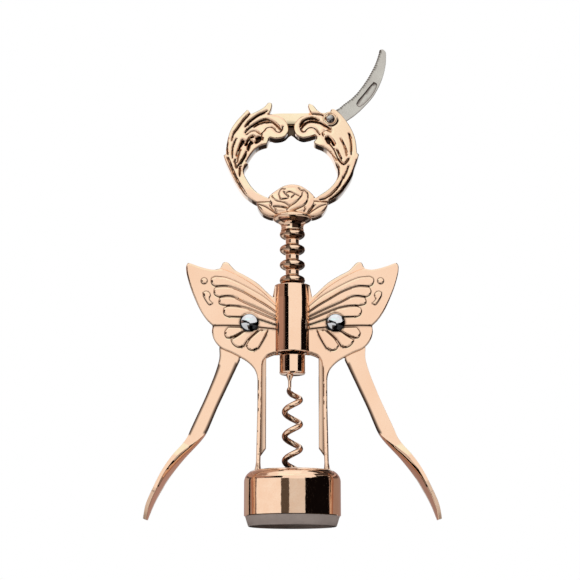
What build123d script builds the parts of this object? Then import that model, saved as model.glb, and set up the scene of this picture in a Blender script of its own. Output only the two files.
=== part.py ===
from build123d import *

import os
from math import acos, atan, cos, degrees, pi, radians, sin, sqrt, tan

# Wing corkscrew: a frame cast as a butterfly, two geared levers, a ring rack driven by them, a worm on a
# turning handle, and a foil blade that folds into the handle.
# Millimetres. +Z is up and the front faces -Y. The origin is the centre of the bell's lower rim.

os.makedirs("parts", exist_ok=True)

# Fits
running_clearance = 0.05
blade_clearance = 0.2
lever_side_clearance = 0.15
seat_clearance = 0.05

# Bell: a metal collar with a soft plastic insert that sits on the bottle's neck
bottle_bore_radius = 15.3
bottle_bore_depth = 14.0
insert_wall = 0.9
insert_flange_height = 3.8
insert_flange_inset = 0.4
insert_foot_taper = 1.2
insert_top_thickness = 2.0
insert_edge = 0.5
cork_ledge = 3.5
collar_wall = 1.75
collar_height = 17.0
collar_shoulder = 4.4

# Ring rack and geared levers
tooth_pitch = 6.0
lever_gear_teeth = 13
pressure_angle = 25.0
ring_count = 8
ring_radius = 4.92
ring_addendum = 1.03
ring_dedendum = 1.31
gear_addendum = 1.15
gear_dedendum = 1.26
gear_tooth_thickness = 2.75
mesh_offset = -1.1
first_ring = -1
first_tooth = -2
last_tooth = 4
gear_tooth_steps = 4

# Frame
pivot_height = 76.3
barrel_wall = 2.05
barrel_drop = 11.3
barrel_rise = 14.8
barrel_top_taper = 0.75
barrel_taper_height = 5.0
lever_thickness = 3.6
front_plate_thickness = 1.2
forewing_relief = 0.5
rear_plate_thickness = 1.5
leg_lean = 0.5
leg_flange_width = 1.6
leg_knee_drop = 31.3
leg_blend_drop = 22.3
leg_join_drop = 14.3
leg_root = 1.5
leg_rib_depth = 3.2
leg_rib_thickness = 2.4
leg_rib_rise = 7.2
leg_rib_chamfer = 3.0
pocket_clearance = 0.3
rear_lug_radius = 6.2
rear_web_rise = 7.7

# Pivot rivets, each a domed tube and a domed pin pressed into it
rivet_head_radius = 3.6
rivet_head_height = 1.5
rivet_shank_radius = 2.0
rivet_core_radius = 1.2
rear_head_radius = 3.2
rear_head_height = 1.1
rivet_end_gap = 0.3

# Spindle
shaft_radius = 1.5
plug_radius = 4.75
plug_length = 7.4
plug_edge = 0.5
socket_depth = 6.0
shaft_seat_depth = 11.0
neck_gap = 0.2

# Worm
worm_wire_radius = 1.05
worm_coil_radius = 2.9
worm_pitch = 9.2
worm_shank_length = 4.9
worm_turns = 3.5
worm_tip_turn = 0.24
worm_tip_radius = 0.12
shank_x = -1.0
shank_y = -0.5

# Handle
handle_depth = 8.0
back_depth = 3.4
neck_radius = 4.2
cup_radius = 7.5
cup_height = 4.5
rose_depth = 9.6
blade_boss_radius = 2.8
blade_boss_height = 0.35

# Foil blade
blade_pivot_x = 14.75
blade_pivot_rise = 42.9
blade_thickness = 1.0
blade_tang_radius = 2.9
blade_rivet_radius = 1.15
blade_rivet_head_radius = 1.6
blade_rivet_head_height = 0.8
serration_radius = 0.55
serration_pitch = 1.25
plain_edge = 5.0
plain_tip = 1.0
nick_width = 1.9
nick_depth = 0.4

# Derived sizes
gear_pitch_radius = lever_gear_teeth * tooth_pitch / (2 * pi)
rack_pitch_radius = ring_radius - ring_addendum
ring_root_radius = rack_pitch_radius - ring_dedendum
pivot_x = rack_pitch_radius + gear_pitch_radius
gear_tip_radius = gear_pitch_radius + gear_addendum
gear_root_radius = gear_pitch_radius - gear_dedendum
barrel_bore_radius = ring_radius + 2 * running_clearance
barrel_radius = barrel_bore_radius + barrel_wall
plate_inside = lever_thickness / 2 + lever_side_clearance
front_face = plate_inside + front_plate_thickness
rear_face = plate_inside + rear_plate_thickness
barrel_bottom = pivot_height - barrel_drop
barrel_top = pivot_height + barrel_rise
cork_hole_radius = bottle_bore_radius - cork_ledge
cavity_radius = bottle_bore_radius + insert_wall + seat_clearance
collar_radius = cavity_radius + collar_wall
collar_bottom = insert_flange_height
collar_top = collar_bottom + collar_height
insert_flange_radius = collar_radius - insert_flange_inset
insert_foot_radius = insert_flange_radius - insert_foot_taper
insert_top = bottle_bore_depth + insert_top_thickness
leg_foot_x = collar_radius - collar_shoulder
leg_top_x = leg_foot_x - leg_lean
leg_knee = pivot_height - leg_knee_drop
leg_blend = pivot_height - leg_blend_drop
leg_join = pivot_height - leg_join_drop
slot_half = blade_thickness / 2 + blade_clearance
rivet_front = front_face + forewing_relief
ring_slope = tan(radians(pressure_angle))
ring_half_tip = tooth_pitch / 4 - ring_addendum * ring_slope
ring_half_root = tooth_pitch / 4 + ring_dedendum * ring_slope
ring_heights = [pivot_height + mesh_offset + (first_ring + k) * tooth_pitch for k in range(ring_count)]
plug_shoulder = ring_heights[0] - tooth_pitch + ring_half_tip
plug_top = ring_heights[0] - tooth_pitch + ring_half_root
rack_bottom = plug_top + 2 * running_clearance
rack_top = ring_heights[-1] + ring_half_root
neck_bottom = rack_top + neck_gap
plug_bottom = plug_shoulder - plug_length
shaft_top = neck_bottom + shaft_seat_depth
worm_coil_height = worm_turns * worm_pitch
worm_coil_top = plug_bottom - worm_shank_length
worm_coil_bottom = worm_coil_top - worm_coil_height
blade_pivot_height = neck_bottom + blade_pivot_rise


def front_plane(y):
    """Plane parallel to the front view at depth y; a sketch on it extrudes towards the front."""
    return Plane.XZ.offset(-y)


def from_pivot(*points):
    """Points given from the left lever's pivot, in the front view's x and z."""
    return [(x - pivot_x, z + pivot_height) for x, z in points]


def from_neck(*points):
    """Points given from the handle's lower end."""
    return [(x, z + neck_bottom) for x, z in points]


def from_crest(*points):
    """Points given from the height of the blade's pivot, which the handle's crest follows."""
    return [(x, z + blade_pivot_height) for x, z in points]


def from_blade_pivot(*points):
    """Points given from the blade's pivot."""
    return [(x + blade_pivot_x, z + blade_pivot_height) for x, z in points]


def mirrored(points):
    """The same points on the other side of the middle plane, in the opposite order."""
    return [(-x, z) for x, z in reversed(points)]


# ---------------------------------------------------------------- frame casting
wing_top = from_pivot((5.2, 13.5), (-0.6, 18.2), (-6.4, 21.6), (-8.8, 23.9))
wing_crest = from_pivot((-10.9, 20.9), (-13.7, 20.6), (-16.6, 21.0), (-19.5, 22.4), (-23.1, 23.4))
wing_edge = from_pivot((-23.1, 23.4), (-23.9, 21.0), (-22.9, 14.7), (-19.3, 4.9), (-13.9, -1.6))
hindwing_edge = from_pivot((-13.9, -1.6), (-13.9, -5.1), (-11.7, -9.2), (-6.3, -12.1), (-1.9, -14.1), (2.0, -17.8))
hindwing_edge += [(-leg_top_x, leg_blend)]
costal_line = from_pivot((-10.9, 20.9), (-7.9, 19.9), (-0.6, 16.3), (5.3, 12.0), (11.0, 6.0))
wing_waist = from_pivot((11.0, -1.9), (-13.9, -1.6))
arch_foot = -leg_top_x + leg_flange_width
window_arch = [(arch_foot, leg_blend), (arch_foot + 0.2, leg_blend + 6.2)]
window_arch += [(-barrel_radius - 2.5, barrel_bottom - 1.6), (-barrel_radius, barrel_bottom - 0.2)]

with BuildPart() as frame_half:
    # Whole butterfly outline, from the barrel round both wings to the leg
    with BuildSketch(front_plane(-plate_inside)):
        with BuildLine():
            Line((0, pivot_height + rear_web_rise), wing_top[0])
            Spline(*wing_top)
            Line(wing_top[-1], wing_crest[0])
            Spline(*wing_crest)
            Spline(*wing_edge)
            Spline(*hindwing_edge)
            Line(hindwing_edge[-1], window_arch[0])
            Spline(*window_arch)
            Polyline(window_arch[-1], (0, window_arch[-1][1]), (0, pivot_height + rear_web_rise))
        make_face()
    extrude(amount=front_plate_thickness)
    # Forewing, a raised layer over the hindwing
    with BuildSketch(front_plane(-front_face)):
        with BuildLine():
            Spline(*wing_crest)
            Spline(*wing_edge)
            Line(wing_edge[-1], wing_waist[0])
            Line(wing_waist[0], costal_line[-1])
            Spline(*costal_line)
        make_face()
    extrude(amount=forewing_relief)
    # Rear lug round the pivot, smaller than the wing that hides it
    with BuildSketch(front_plane(rear_face)):
        with Locations((-pivot_x, pivot_height)):
            Circle(rear_lug_radius)
        with BuildLine():
            Polyline(
                (0, pivot_height + rear_web_rise),
                (-pivot_x, pivot_height + rear_lug_radius),
                (-pivot_x - rear_lug_radius, pivot_height),
                (-pivot_x + 0.3, leg_join - 0.5),
                (-leg_top_x, window_arch[0][1]),
                window_arch[0],
            )
            Spline(*window_arch)
            Polyline(window_arch[-1], (0, window_arch[-1][1]), (0, pivot_height + rear_web_rise))
        make_face()
    extrude(amount=rear_plate_thickness)
    # Leg: a flange across the depth and a rib set back inside it
    with BuildSketch(front_plane(rear_face)):
        with BuildLine():
            Polyline(
                (-leg_top_x, leg_join),
                (-leg_top_x, leg_knee),
                (-leg_foot_x, collar_top),
                (-leg_foot_x, collar_top - leg_root),
                (-leg_foot_x + leg_flange_width, collar_top - leg_root),
                (-leg_foot_x + leg_flange_width, collar_top),
                (-leg_top_x + leg_flange_width, leg_knee),
                (-leg_top_x + leg_flange_width, leg_join),
                close=True,
            )
        make_face()
    extrude(amount=rear_face + front_face)
    with BuildSketch(front_plane(leg_rib_thickness / 2)):
        with BuildLine():
            Polyline(
                (-leg_top_x + leg_flange_width / 2, leg_join + 2),
                (-leg_top_x + leg_flange_width / 2, collar_top + leg_rib_rise),
                (-leg_foot_x + leg_flange_width, collar_top + leg_rib_rise),
                (-leg_top_x + leg_rib_depth, collar_top + leg_rib_rise + leg_rib_chamfer),
                (-leg_top_x + leg_rib_depth, leg_join + 2),
                close=True,
            )
        make_face()
    extrude(amount=leg_rib_thickness)
    mirror(about=Plane.YZ)

with BuildPart() as frame:
    add(frame_half.part)
    # Barrel, tapered at its top edge
    with BuildSketch(Plane.XZ):
        with BuildLine():
            Polyline(
                (0, barrel_bottom),
                (barrel_radius, barrel_bottom),
                (barrel_radius, barrel_top - barrel_taper_height),
                (barrel_radius - barrel_top_taper, barrel_top),
                (0, barrel_top),
                close=True,
            )
        make_face()
    revolve(axis=Axis.Z)
    # Collar, hollow from below, with the cork's hole through its top
    with BuildSketch(Plane.XZ):
        with BuildLine():
            Polyline(
                (cork_hole_radius, collar_top),
                (cork_hole_radius, insert_top + seat_clearance),
                (cavity_radius, insert_top + seat_clearance),
                (cavity_radius, collar_bottom),
                (collar_radius, collar_bottom),
                (collar_radius, collar_top - collar_shoulder),
            )
            TangentArc(
                (collar_radius, collar_top - collar_shoulder),
                (collar_radius - collar_shoulder, collar_top),
                tangent=(0, 1),
            )
            Line((collar_radius - collar_shoulder, collar_top), (cork_hole_radius, collar_top))
        make_face()
    revolve(axis=Axis.Z)
    # Bore for the rack, and pockets in which the lever gears turn
    with Locations((0, 0, (barrel_top + barrel_bottom) / 2)):
        Cylinder(barrel_bore_radius, 2 * (barrel_top - barrel_bottom), mode=Mode.SUBTRACT)
    with BuildSketch(front_plane(plate_inside)):
        with Locations((-pivot_x, pivot_height), (pivot_x, pivot_height)):
            Circle(gear_tip_radius + pocket_clearance)
    extrude(amount=2 * plate_inside, mode=Mode.SUBTRACT)
    with BuildSketch(front_plane(rear_face)):
        with Locations((-pivot_x, pivot_height), (pivot_x, pivot_height)):
            Circle(rivet_shank_radius)
    extrude(amount=rear_face + front_face + forewing_relief, mode=Mode.SUBTRACT)
frame.part.label = "frame_casting"
export_step(frame.part, "parts/frame_casting.step")

# ---------------------------------------------------------------- bell insert
with BuildPart() as insert:
    with BuildSketch(Plane.XZ):
        with BuildLine():
            Polyline(
                (bottle_bore_radius, 0),
                (insert_foot_radius, 0),
                (insert_flange_radius, insert_flange_height),
                (cavity_radius - seat_clearance, insert_flange_height),
                (cavity_radius - seat_clearance, insert_top),
                (cork_hole_radius, insert_top),
                (cork_hole_radius, bottle_bore_depth),
                (bottle_bore_radius, bottle_bore_depth),
                close=True,
            )
        make_face()
    revolve(axis=Axis.Z)
    fillet(insert.edges().filter_by(GeomType.CIRCLE).group_by(Axis.Z)[0].sort_by(SortBy.RADIUS)[-1:], insert_edge)
insert.part.label = "bell_insert"
export_step(insert.part, "parts/bell_insert.step")

# ---------------------------------------------------------------- pivot rivets
def dome(radius, height):
    """Half outline of a domed head whose flat side lies on the sketch's x axis."""
    sphere = (radius**2 + height**2) / (2 * height)
    Line((0, 0), (radius, 0))
    mid_radius = radius / 2
    mid_height = height - sphere + sqrt(sphere**2 - mid_radius**2)
    ThreePointArc((radius, 0), (mid_radius, mid_height), (0, height))
    Line((0, height), (0, 0))


for side, sign in (("left", -1), ("right", 1)):
    pivot_point = (sign * pivot_x, 0, pivot_height)
    head_plane = Plane((sign * pivot_x, -rivet_front, pivot_height), x_dir=(1, 0, 0), z_dir=(0, 0, 1))
    with BuildPart() as rivet:
        with BuildSketch(Plane(head_plane.origin, x_dir=(1, 0, 0), z_dir=(0, 0, -1))):
            with BuildLine():
                dome(rivet_head_radius, rivet_head_height)
            make_face()
        revolve(axis=Axis(head_plane.origin, (0, 1, 0)))
        with BuildSketch(front_plane(rear_face)):
            with Locations((sign * pivot_x, pivot_height)):
                Circle(rivet_shank_radius)
        extrude(amount=rear_face + rivet_front)
        with BuildSketch(front_plane(rear_face)):
            with Locations((sign * pivot_x, pivot_height)):
                Circle(rivet_core_radius)
        extrude(amount=rear_face + front_face, mode=Mode.SUBTRACT)
    rivet.part.label = f"pivot_rivet_{side}"
    export_step(rivet.part, f"parts/pivot_rivet_{side}.step")

    tail_origin = (sign * pivot_x, rear_face, pivot_height)
    with BuildPart() as tail:
        with BuildSketch(Plane(tail_origin, x_dir=(1, 0, 0), z_dir=(0, 0, 1))):
            with BuildLine():
                dome(rear_head_radius, rear_head_height)
            make_face()
        revolve(axis=Axis(tail_origin, (0, 1, 0)))
        with BuildSketch(front_plane(rear_face)):
            with Locations((sign * pivot_x, pivot_height)):
                Circle(rivet_core_radius)
        extrude(amount=rear_face + front_face - rivet_end_gap)
    tail.part.label = f"rivet_pin_{side}"
    export_step(tail.part, f"parts/rivet_pin_{side}.step")

# ---------------------------------------------------------------- levers
base_radius = gear_pitch_radius * cos(radians(pressure_angle))


def involute(angle):
    return tan(angle) - angle


def flank_angle(radius):
    """Half the angle that a gear tooth fills at a radius."""
    at_pitch = gear_tooth_thickness / (2 * gear_pitch_radius)
    roll = acos(min(1.0, base_radius / radius))
    return at_pitch + involute(radians(pressure_angle)) - involute(roll)


def gear_point(radius, angle):
    return (-pivot_x + radius * cos(angle), pivot_height + radius * sin(angle))


def gear_tooth(index):
    """One tooth of the left lever, as an outline with involute flanks."""
    middle = (mesh_offset + (index + 0.5) * tooth_pitch) / gear_pitch_radius
    radii = [base_radius + (gear_tip_radius - base_radius) * k / gear_tooth_steps for k in range(gear_tooth_steps + 1)]
    lower = [gear_point(r, middle - flank_angle(r)) for r in radii]
    upper = [gear_point(r, middle + flank_angle(r)) for r in reversed(radii)]
    foot = gear_root_radius - 0.6
    Line(gear_point(foot, middle - flank_angle(base_radius)), lower[0])
    Spline(*lower)
    ThreePointArc(lower[-1], gear_point(gear_tip_radius, middle), upper[0])
    Spline(*upper)
    Polyline(
        upper[-1],
        gear_point(foot, middle + flank_angle(base_radius)),
        gear_point(foot, middle - flank_angle(base_radius)),
    )


arm_outer = from_pivot((-11.3, -9.4), (-11.2, -13.0), (-13.0, -20.1), (-16.5, -28.8), (-21.8, -40.6))
arm_inner = from_pivot((-16.6, -42.9), (-11.7, -31.7), (-6.3, -19.7), (-3.4, -12.9))
# Sections of the arm's end and its dished paddle, from the kink to the tip:
# outer edge, inner edge (both from the pivot), half width, rim thickness, hollow depth
paddle_sections = [
    ((-21.8, -40.6), (-16.6, -42.9), 1.8, 5.4, 0.0),
    ((-24.1, -44.8), (-19.3, -46.5), 2.5, 4.2, 0.3),
    ((-27.2, -48.6), (-22.6, -50.2), 4.0, 2.6, 1.0),
    ((-30.6, -52.6), (-26.4, -54.4), 5.1, 1.9, 1.7),
    ((-33.5, -57.7), (-29.8, -59.4), 5.6, 1.6, 2.0),
    ((-36.2, -64.0), (-32.9, -65.2), 5.5, 1.5, 1.7),
    ((-38.2, -70.2), (-35.8, -70.9), 4.6, 1.3, 0.9),
    ((-38.9, -73.4), (-37.3, -73.9), 3.0, 1.1, 0.3),
]

with BuildPart() as lever_left:
    with BuildSketch(front_plane(lever_thickness / 2)):
        # Sector disc and shoulder of the arm
        with BuildLine():
            Line(gear_point(gear_root_radius, radians(135)), arm_outer[0])
            Spline(*arm_outer)
            Line(arm_outer[-1], arm_inner[0])
            Spline(*arm_inner)
            Line(arm_inner[-1], gear_point(gear_root_radius, radians(-60)))
            Line(gear_point(gear_root_radius, radians(-60)), gear_point(gear_root_radius, radians(135)))
        make_face()
        with BuildLine():
            start, end = gear_point(gear_root_radius, radians(-60)), gear_point(gear_root_radius, radians(135))
            ThreePointArc(start, gear_point(gear_root_radius, radians(37.5)), end)
            Line(end, start)
        make_face()
        for index in range(first_tooth, last_tooth + 1):
            with BuildLine():
                gear_tooth(index)
            make_face()
        with Locations((-pivot_x, pivot_height)):
            Circle(rivet_shank_radius + running_clearance, mode=Mode.SUBTRACT)
    extrude(amount=lever_thickness)
    # Paddle
    for outer, inner, half_width, rim, hollow in paddle_sections:
        outer_point, inner_point = from_pivot(outer, inner)
        across = Vector(inner_point[0] - outer_point[0], 0, inner_point[1] - outer_point[1])
        depth = across.length
        along = Vector(0, 1, 0).cross(across).normalized()
        with BuildSketch(Plane((outer_point[0], 0, outer_point[1]), x_dir=across, z_dir=along)):
            with BuildLine():
                corner_a, corner_b = (0, -half_width), (0, half_width)
                if hollow > 0:
                    ThreePointArc(corner_a, (hollow, 0), corner_b)
                else:
                    ThreePointArc(corner_a, (-0.05, 0), corner_b)
                Line(corner_b, (rim, half_width))
                ThreePointArc((rim, half_width), (max(depth, rim + 0.05), 0), (rim, -half_width))
                Line((rim, -half_width), corner_a)
            make_face()
    loft()
lever_left.part.label = "lever_left"
export_step(lever_left.part, "parts/lever_left.step")

with BuildPart() as lever_right:
    mirror(lever_left.part, about=Plane.YZ)
lever_right.part.label = "lever_right"
export_step(lever_right.part, "parts/lever_right.step")

# ---------------------------------------------------------------- ring rack
with BuildPart() as rack:
    with BuildSketch(Plane.XZ):
        outline = [(shaft_radius + running_clearance, rack_bottom), (ring_root_radius, rack_bottom)]
        for height in ring_heights:
            outline += [
                (ring_root_radius, height - ring_half_root),
                (ring_radius, height - ring_half_tip),
                (ring_radius, height + ring_half_tip),
                (ring_root_radius, height + ring_half_root),
            ]
        outline += [(shaft_radius + running_clearance, rack_top)]
        with BuildLine():
            Polyline(*outline, close=True)
        make_face()
    revolve(axis=Axis.Z)
rack.part.label = "ring_rack"
export_step(rack.part, "parts/ring_rack.step")

# ---------------------------------------------------------------- drive shaft
with BuildPart() as shaft:
    with BuildSketch(Plane.XZ):
        with BuildLine():
            Polyline(
                (0, plug_bottom),
                (plug_radius - plug_edge, plug_bottom),
                (plug_radius, plug_bottom + plug_edge),
                (plug_radius, plug_shoulder),
                (ring_root_radius, plug_top),
                (shaft_radius, plug_top),
                (shaft_radius, shaft_top),
                (0, shaft_top),
                close=True,
            )
        make_face()
    revolve(axis=Axis.Z)
    with BuildSketch(Plane.XY.offset(plug_bottom)):
        with Locations((shank_x, shank_y)):
            Circle(worm_wire_radius)
    extrude(amount=socket_depth, mode=Mode.SUBTRACT)
shaft.part.label = "drive_shaft"
export_step(shaft.part, "parts/drive_shaft.step")

# ---------------------------------------------------------------- worm
lead_angle = atan(worm_pitch / (2 * pi * worm_coil_radius))


def coil_plane(turn):
    """Plane square to the wire, at a turn counted upwards from the coil's lower end."""
    angle = 2 * pi * turn
    place = (worm_coil_radius * cos(angle), worm_coil_radius * sin(angle), worm_coil_bottom + turn * worm_pitch)
    tangent = (-sin(angle) * cos(lead_angle), cos(angle) * cos(lead_angle), sin(lead_angle))
    return Plane(place, x_dir=(cos(angle), sin(angle), 0), z_dir=tangent)


with BuildPart() as worm:
    # Coil
    with BuildLine():
        Helix(worm_pitch, worm_coil_height, worm_coil_radius, center=(0, 0, worm_coil_bottom))
    with BuildSketch(coil_plane(0)):
        Circle(worm_wire_radius)
    sweep(is_frenet=True)
    # Pointed tip, one more part of a turn
    for step in range(5):
        with BuildSketch(coil_plane(-worm_tip_turn * (1 - step / 4))):
            Circle(worm_tip_radius + (worm_wire_radius - worm_tip_radius) * sqrt(step / 4))
    loft()
    # Shank, bent in to the shaft's socket
    coil_end = coil_plane(worm_turns)
    with BuildLine():
        Spline(
            tuple(coil_end.origin),
            (shank_x, shank_y, plug_bottom),
            tangents=(tuple(coil_end.z_dir), (0, 0, 1)),
        )
    with BuildSketch(coil_end):
        Circle(worm_wire_radius)
    sweep()
    with BuildSketch(Plane.XY.offset(plug_bottom)):
        with Locations((shank_x, shank_y)):
            Circle(worm_wire_radius)
    extrude(amount=socket_depth - 0.3)
worm.part.label = "worm"
export_step(worm.part, "parts/worm.step")

# ---------------------------------------------------------------- handle
handle_front = handle_depth / 2
shaft_end_gap = 0.3

ring_outer_left = from_neck((-13.7, 9.6), (-19.0, 13.5), (-24.3, 22.7)) + from_crest((-26.7, -14.4))
ring_upper_left = from_crest((-25.6, -13.8), (-25.0, -7.7), (-21.8, -0.9))
ring_outer_right = from_neck((13.6, 9.9), (20.7, 15.7), (24.2, 23.9)) + from_crest((25.8, -14.1))
ring_upper_right = from_crest((24.9, -13.2), (22.95, -4.0), (17.3, 3.5))
back_crest = from_crest((-21.8, -0.9), (-13.0, 2.8), (0, 3.7), (12.0, 3.8), (17.3, 3.5))
opening_side = from_neck((9.3, 11.5), (14.2, 14.7), (18.0, 20.8))
opening_side += from_crest((15.9, -16.5), (10.3, -12.0), (3.0, -9.1), (0, -7.8))
rose_outline = from_neck((-9.2, 10.1), (-6.6, 13.8), (-3.3, 15.9), (0, 16.6), (3.7, 15.8), (6.7, 13.4), (8.8, 10.1))
side_leaf = from_neck((13.6, 9.8), (12.4, 6.7), (9.3, 4.4), (6.5, 3.8))
leaf_left = from_crest((-21.8, -0.9), (-19.1, 2.2), (-17.4, 4.2))
leaf_left_inner = from_crest((-15.6, 1.9), (-10.8, 5.1), (-9.4, 7.0))
scroll_left = from_crest((-8.8, 2.5), (-4.9, 1.0), (-2.3, -1.8), (-1.9, -5.0), (-3.4, -8.0))
scroll_right = from_crest((2.8, -8.0), (1.2, -4.9), (1.6, -1.4), (4.6, 1.2), (7.6, 2.0))
leaf_right = from_crest((6.4, 6.5), (9.9, 3.5), (12.6, 2.0))
slot_floor = from_blade_pivot(
    (-41.8, -5.4), (-35.6, -2.6), (-26.2, -0.1), (-18.8, 0.7), (-12.3, 0.2), (-5.8, -1.6), (-1.9, -3.2)
)
slot_reach = 17.3
slot_rise = 13.6
layer_overlap = 1.5

with BuildPart() as handle:
    # Plain back layer and core, a ring with the blade's slot cut into its crest
    with BuildSketch(front_plane(back_depth)):
        with BuildLine():
            Spline(*ring_outer_left)
            Line(ring_outer_left[-1], ring_upper_left[0])
            Spline(*ring_upper_left)
            Spline(*back_crest)
            Spline(*reversed(ring_upper_right))
            Line(ring_upper_right[0], ring_outer_right[-1])
            Spline(*reversed(ring_outer_right))
            Line(ring_outer_right[0], ring_outer_left[0])
        make_face()
    extrude(amount=back_depth + slot_half)
    # Front layer: lower half of the ring
    with BuildSketch(front_plane(-slot_half)):
        with BuildLine():
            Spline(*ring_outer_left)
            Line(ring_outer_left[-1], ring_outer_right[-1])
            Spline(*reversed(ring_outer_right))
            Line(ring_outer_right[0], ring_outer_left[0])
        make_face()
    extrude(amount=handle_front - slot_half)
    # Front layer: left leaves and scroll
    with BuildSketch(front_plane(-slot_half)):
        with BuildLine():
            Line(ring_outer_left[-1], ring_upper_left[0])
            Spline(*ring_upper_left)
            Spline(*leaf_left)
            Line(leaf_left[-1], leaf_left_inner[0])
            Spline(*leaf_left_inner)
            Polyline(leaf_left_inner[-1], (leaf_left_inner[-1][0] + 1.6, leaf_left_inner[-1][1] - 1.0), scroll_left[0])
            Spline(*scroll_left)
            layer_foot = (scroll_left[-1][0], ring_outer_left[-1][1] - layer_overlap)
            Polyline(scroll_left[-1], layer_foot, ring_outer_left[-1])
        make_face()
    extrude(amount=handle_front - slot_half)
    # Front layer: right scroll, leaf and the cheek that carries the blade's rivet
    with BuildSketch(front_plane(-slot_half)):
        with BuildLine():
            Spline(*scroll_right)
            Line(scroll_right[-1], leaf_right[0])
            Spline(*leaf_right)
            Polyline(leaf_right[-1], (ring_upper_right[-1][0] - 2.3, ring_upper_right[-1][1] + 0.6), ring_upper_right[-1])
            Spline(*reversed(ring_upper_right))
            layer_foot = (scroll_right[0][0], ring_outer_right[-1][1] - layer_overlap)
            Polyline(ring_upper_right[0], ring_outer_right[-1], layer_foot, scroll_right[0])
        make_face()
    extrude(amount=handle_front - slot_half)
    # Boss round the blade's rivet
    with BuildSketch(front_plane(-handle_front)):
        with Locations((blade_pivot_x, blade_pivot_height)):
            Circle(blade_boss_radius)
    extrude(amount=blade_boss_height)
    # Finger and bottle opening
    with BuildSketch(front_plane(back_depth)):
        with BuildLine():
            Spline(*opening_side)
            Spline(*mirrored(opening_side))
            Line((-opening_side[0][0], opening_side[0][1]), opening_side[0])
        make_face()
    extrude(amount=back_depth + handle_front, mode=Mode.SUBTRACT)
    # Slot for the folded blade and for its swing
    with BuildSketch(front_plane(slot_half)):
        with BuildLine():
            Spline(*slot_floor)
            slot_right, slot_top = blade_pivot_x + slot_reach, blade_pivot_height + slot_rise
            slot_left = slot_floor[0][0]
            Polyline(
                slot_floor[-1],
                (slot_right, slot_floor[-1][1]),
                (slot_right, slot_top),
                (slot_left, slot_top),
                slot_floor[0],
            )
        make_face()
        with Locations((blade_pivot_x, blade_pivot_height)):
            Circle(blade_tang_radius + blade_clearance)
    extrude(amount=2 * slot_half, mode=Mode.SUBTRACT)
    # Rose and its side leaves
    with BuildSketch(front_plane(rose_depth / 2 - 1.2)):
        with BuildLine():
            Spline(*rose_outline)
            Polyline(rose_outline[-1], (7.2, neck_bottom + cup_height), (-7.2, neck_bottom + cup_height), rose_outline[0])
        make_face()
    extrude(amount=rose_depth - 1.2)
    with BuildSketch(front_plane(back_depth)):
        with BuildLine():
            Spline(*side_leaf)
            Spline(*mirrored(side_leaf))
            Line(side_leaf[0], (-side_leaf[0][0], side_leaf[0][1]))
            Line((-side_leaf[-1][0], side_leaf[-1][1]), side_leaf[-1])
        make_face()
    extrude(amount=back_depth + handle_front)
    # Flared cup and neck under the rose
    with BuildSketch(Plane.XZ):
        with BuildLine():
            Polyline((0, neck_bottom), (neck_radius, neck_bottom), (neck_radius, neck_bottom + 0.9))
            Spline(
                (neck_radius, neck_bottom + 0.9),
                (neck_radius + 1.2, neck_bottom + 2.6),
                (cup_radius, neck_bottom + cup_height),
                tangents=((0, 1), (1, 0.35)),
            )
            Polyline(
                (cup_radius, neck_bottom + cup_height),
                (cup_radius, neck_bottom + cup_height + 0.6),
                (0, neck_bottom + cup_height + 3.0),
                (0, neck_bottom),
            )
        make_face()
    revolve(axis=Axis.Z)
    # Holes for the shaft and the blade's rivet
    with BuildSketch(Plane.XY.offset(neck_bottom)):
        Circle(shaft_radius)
    extrude(amount=shaft_top + shaft_end_gap - neck_bottom, mode=Mode.SUBTRACT)
    with BuildSketch(front_plane(back_depth)):
        with Locations((blade_pivot_x, blade_pivot_height)):
            Circle(blade_rivet_radius)
    extrude(amount=back_depth + handle_front + blade_boss_height, mode=Mode.SUBTRACT)
handle.part.label = "handle"
export_step(handle.part, "parts/handle.step")

# ---------------------------------------------------------------- foil blade and its rivet
edge_arc = from_blade_pivot((8.15, 9.3), (19.65, 29.4))
blade_tip = from_blade_pivot((20.85, 29.7))
blade_back = from_blade_pivot((22.35, 27.9), (20.95, 19.0), (16.65, 10.0), (10.55, 3.5))
nick_arc = from_blade_pivot((11.15, 7.1), (14.85, 11.0), (17.45, 15.6))
tang_angle = radians(55)
tang_x = blade_tang_radius * cos(tang_angle)
tang_z = blade_tang_radius * sin(tang_angle)

with BuildPart() as blade:
    with BuildSketch(front_plane(blade_thickness / 2)):
        with Locations((blade_pivot_x, blade_pivot_height)):
            Circle(blade_tang_radius)
        with BuildLine():
            tang_foot = (blade_pivot_x + tang_x, blade_pivot_height - tang_z)
            tang_top = (blade_pivot_x - tang_x, blade_pivot_height + tang_z)
            cutting_edge = ThreePointArc(tang_top, edge_arc[0], edge_arc[1])
            Spline(edge_arc[1], blade_tip[0], blade_back[0])
            Spline(*blade_back, tang_foot)
            Line(tang_foot, tang_top)
        make_face()
        # Serrations along the hollow edge
        serration_count = int((cutting_edge.length - plain_edge - plain_tip) / serration_pitch)
        for k in range(serration_count + 1):
            place = cutting_edge.position_at((plain_edge + k * serration_pitch) / cutting_edge.length)
            with Locations((place.X, place.Y)):
                Circle(serration_radius, mode=Mode.SUBTRACT)
        with Locations((blade_pivot_x, blade_pivot_height)):
            Circle(blade_rivet_radius + running_clearance, mode=Mode.SUBTRACT)
    extrude(amount=blade_thickness)
    # Nail nick
    with BuildSketch(front_plane(-blade_thickness / 2 + nick_depth)):
        with BuildLine(mode=Mode.PRIVATE):
            nick_line = ThreePointArc(*nick_arc)
        SlotArc(nick_line, nick_width)
    extrude(amount=nick_depth, mode=Mode.SUBTRACT)
blade.part.label = "foil_blade"
export_step(blade.part, "parts/foil_blade.step")

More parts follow.
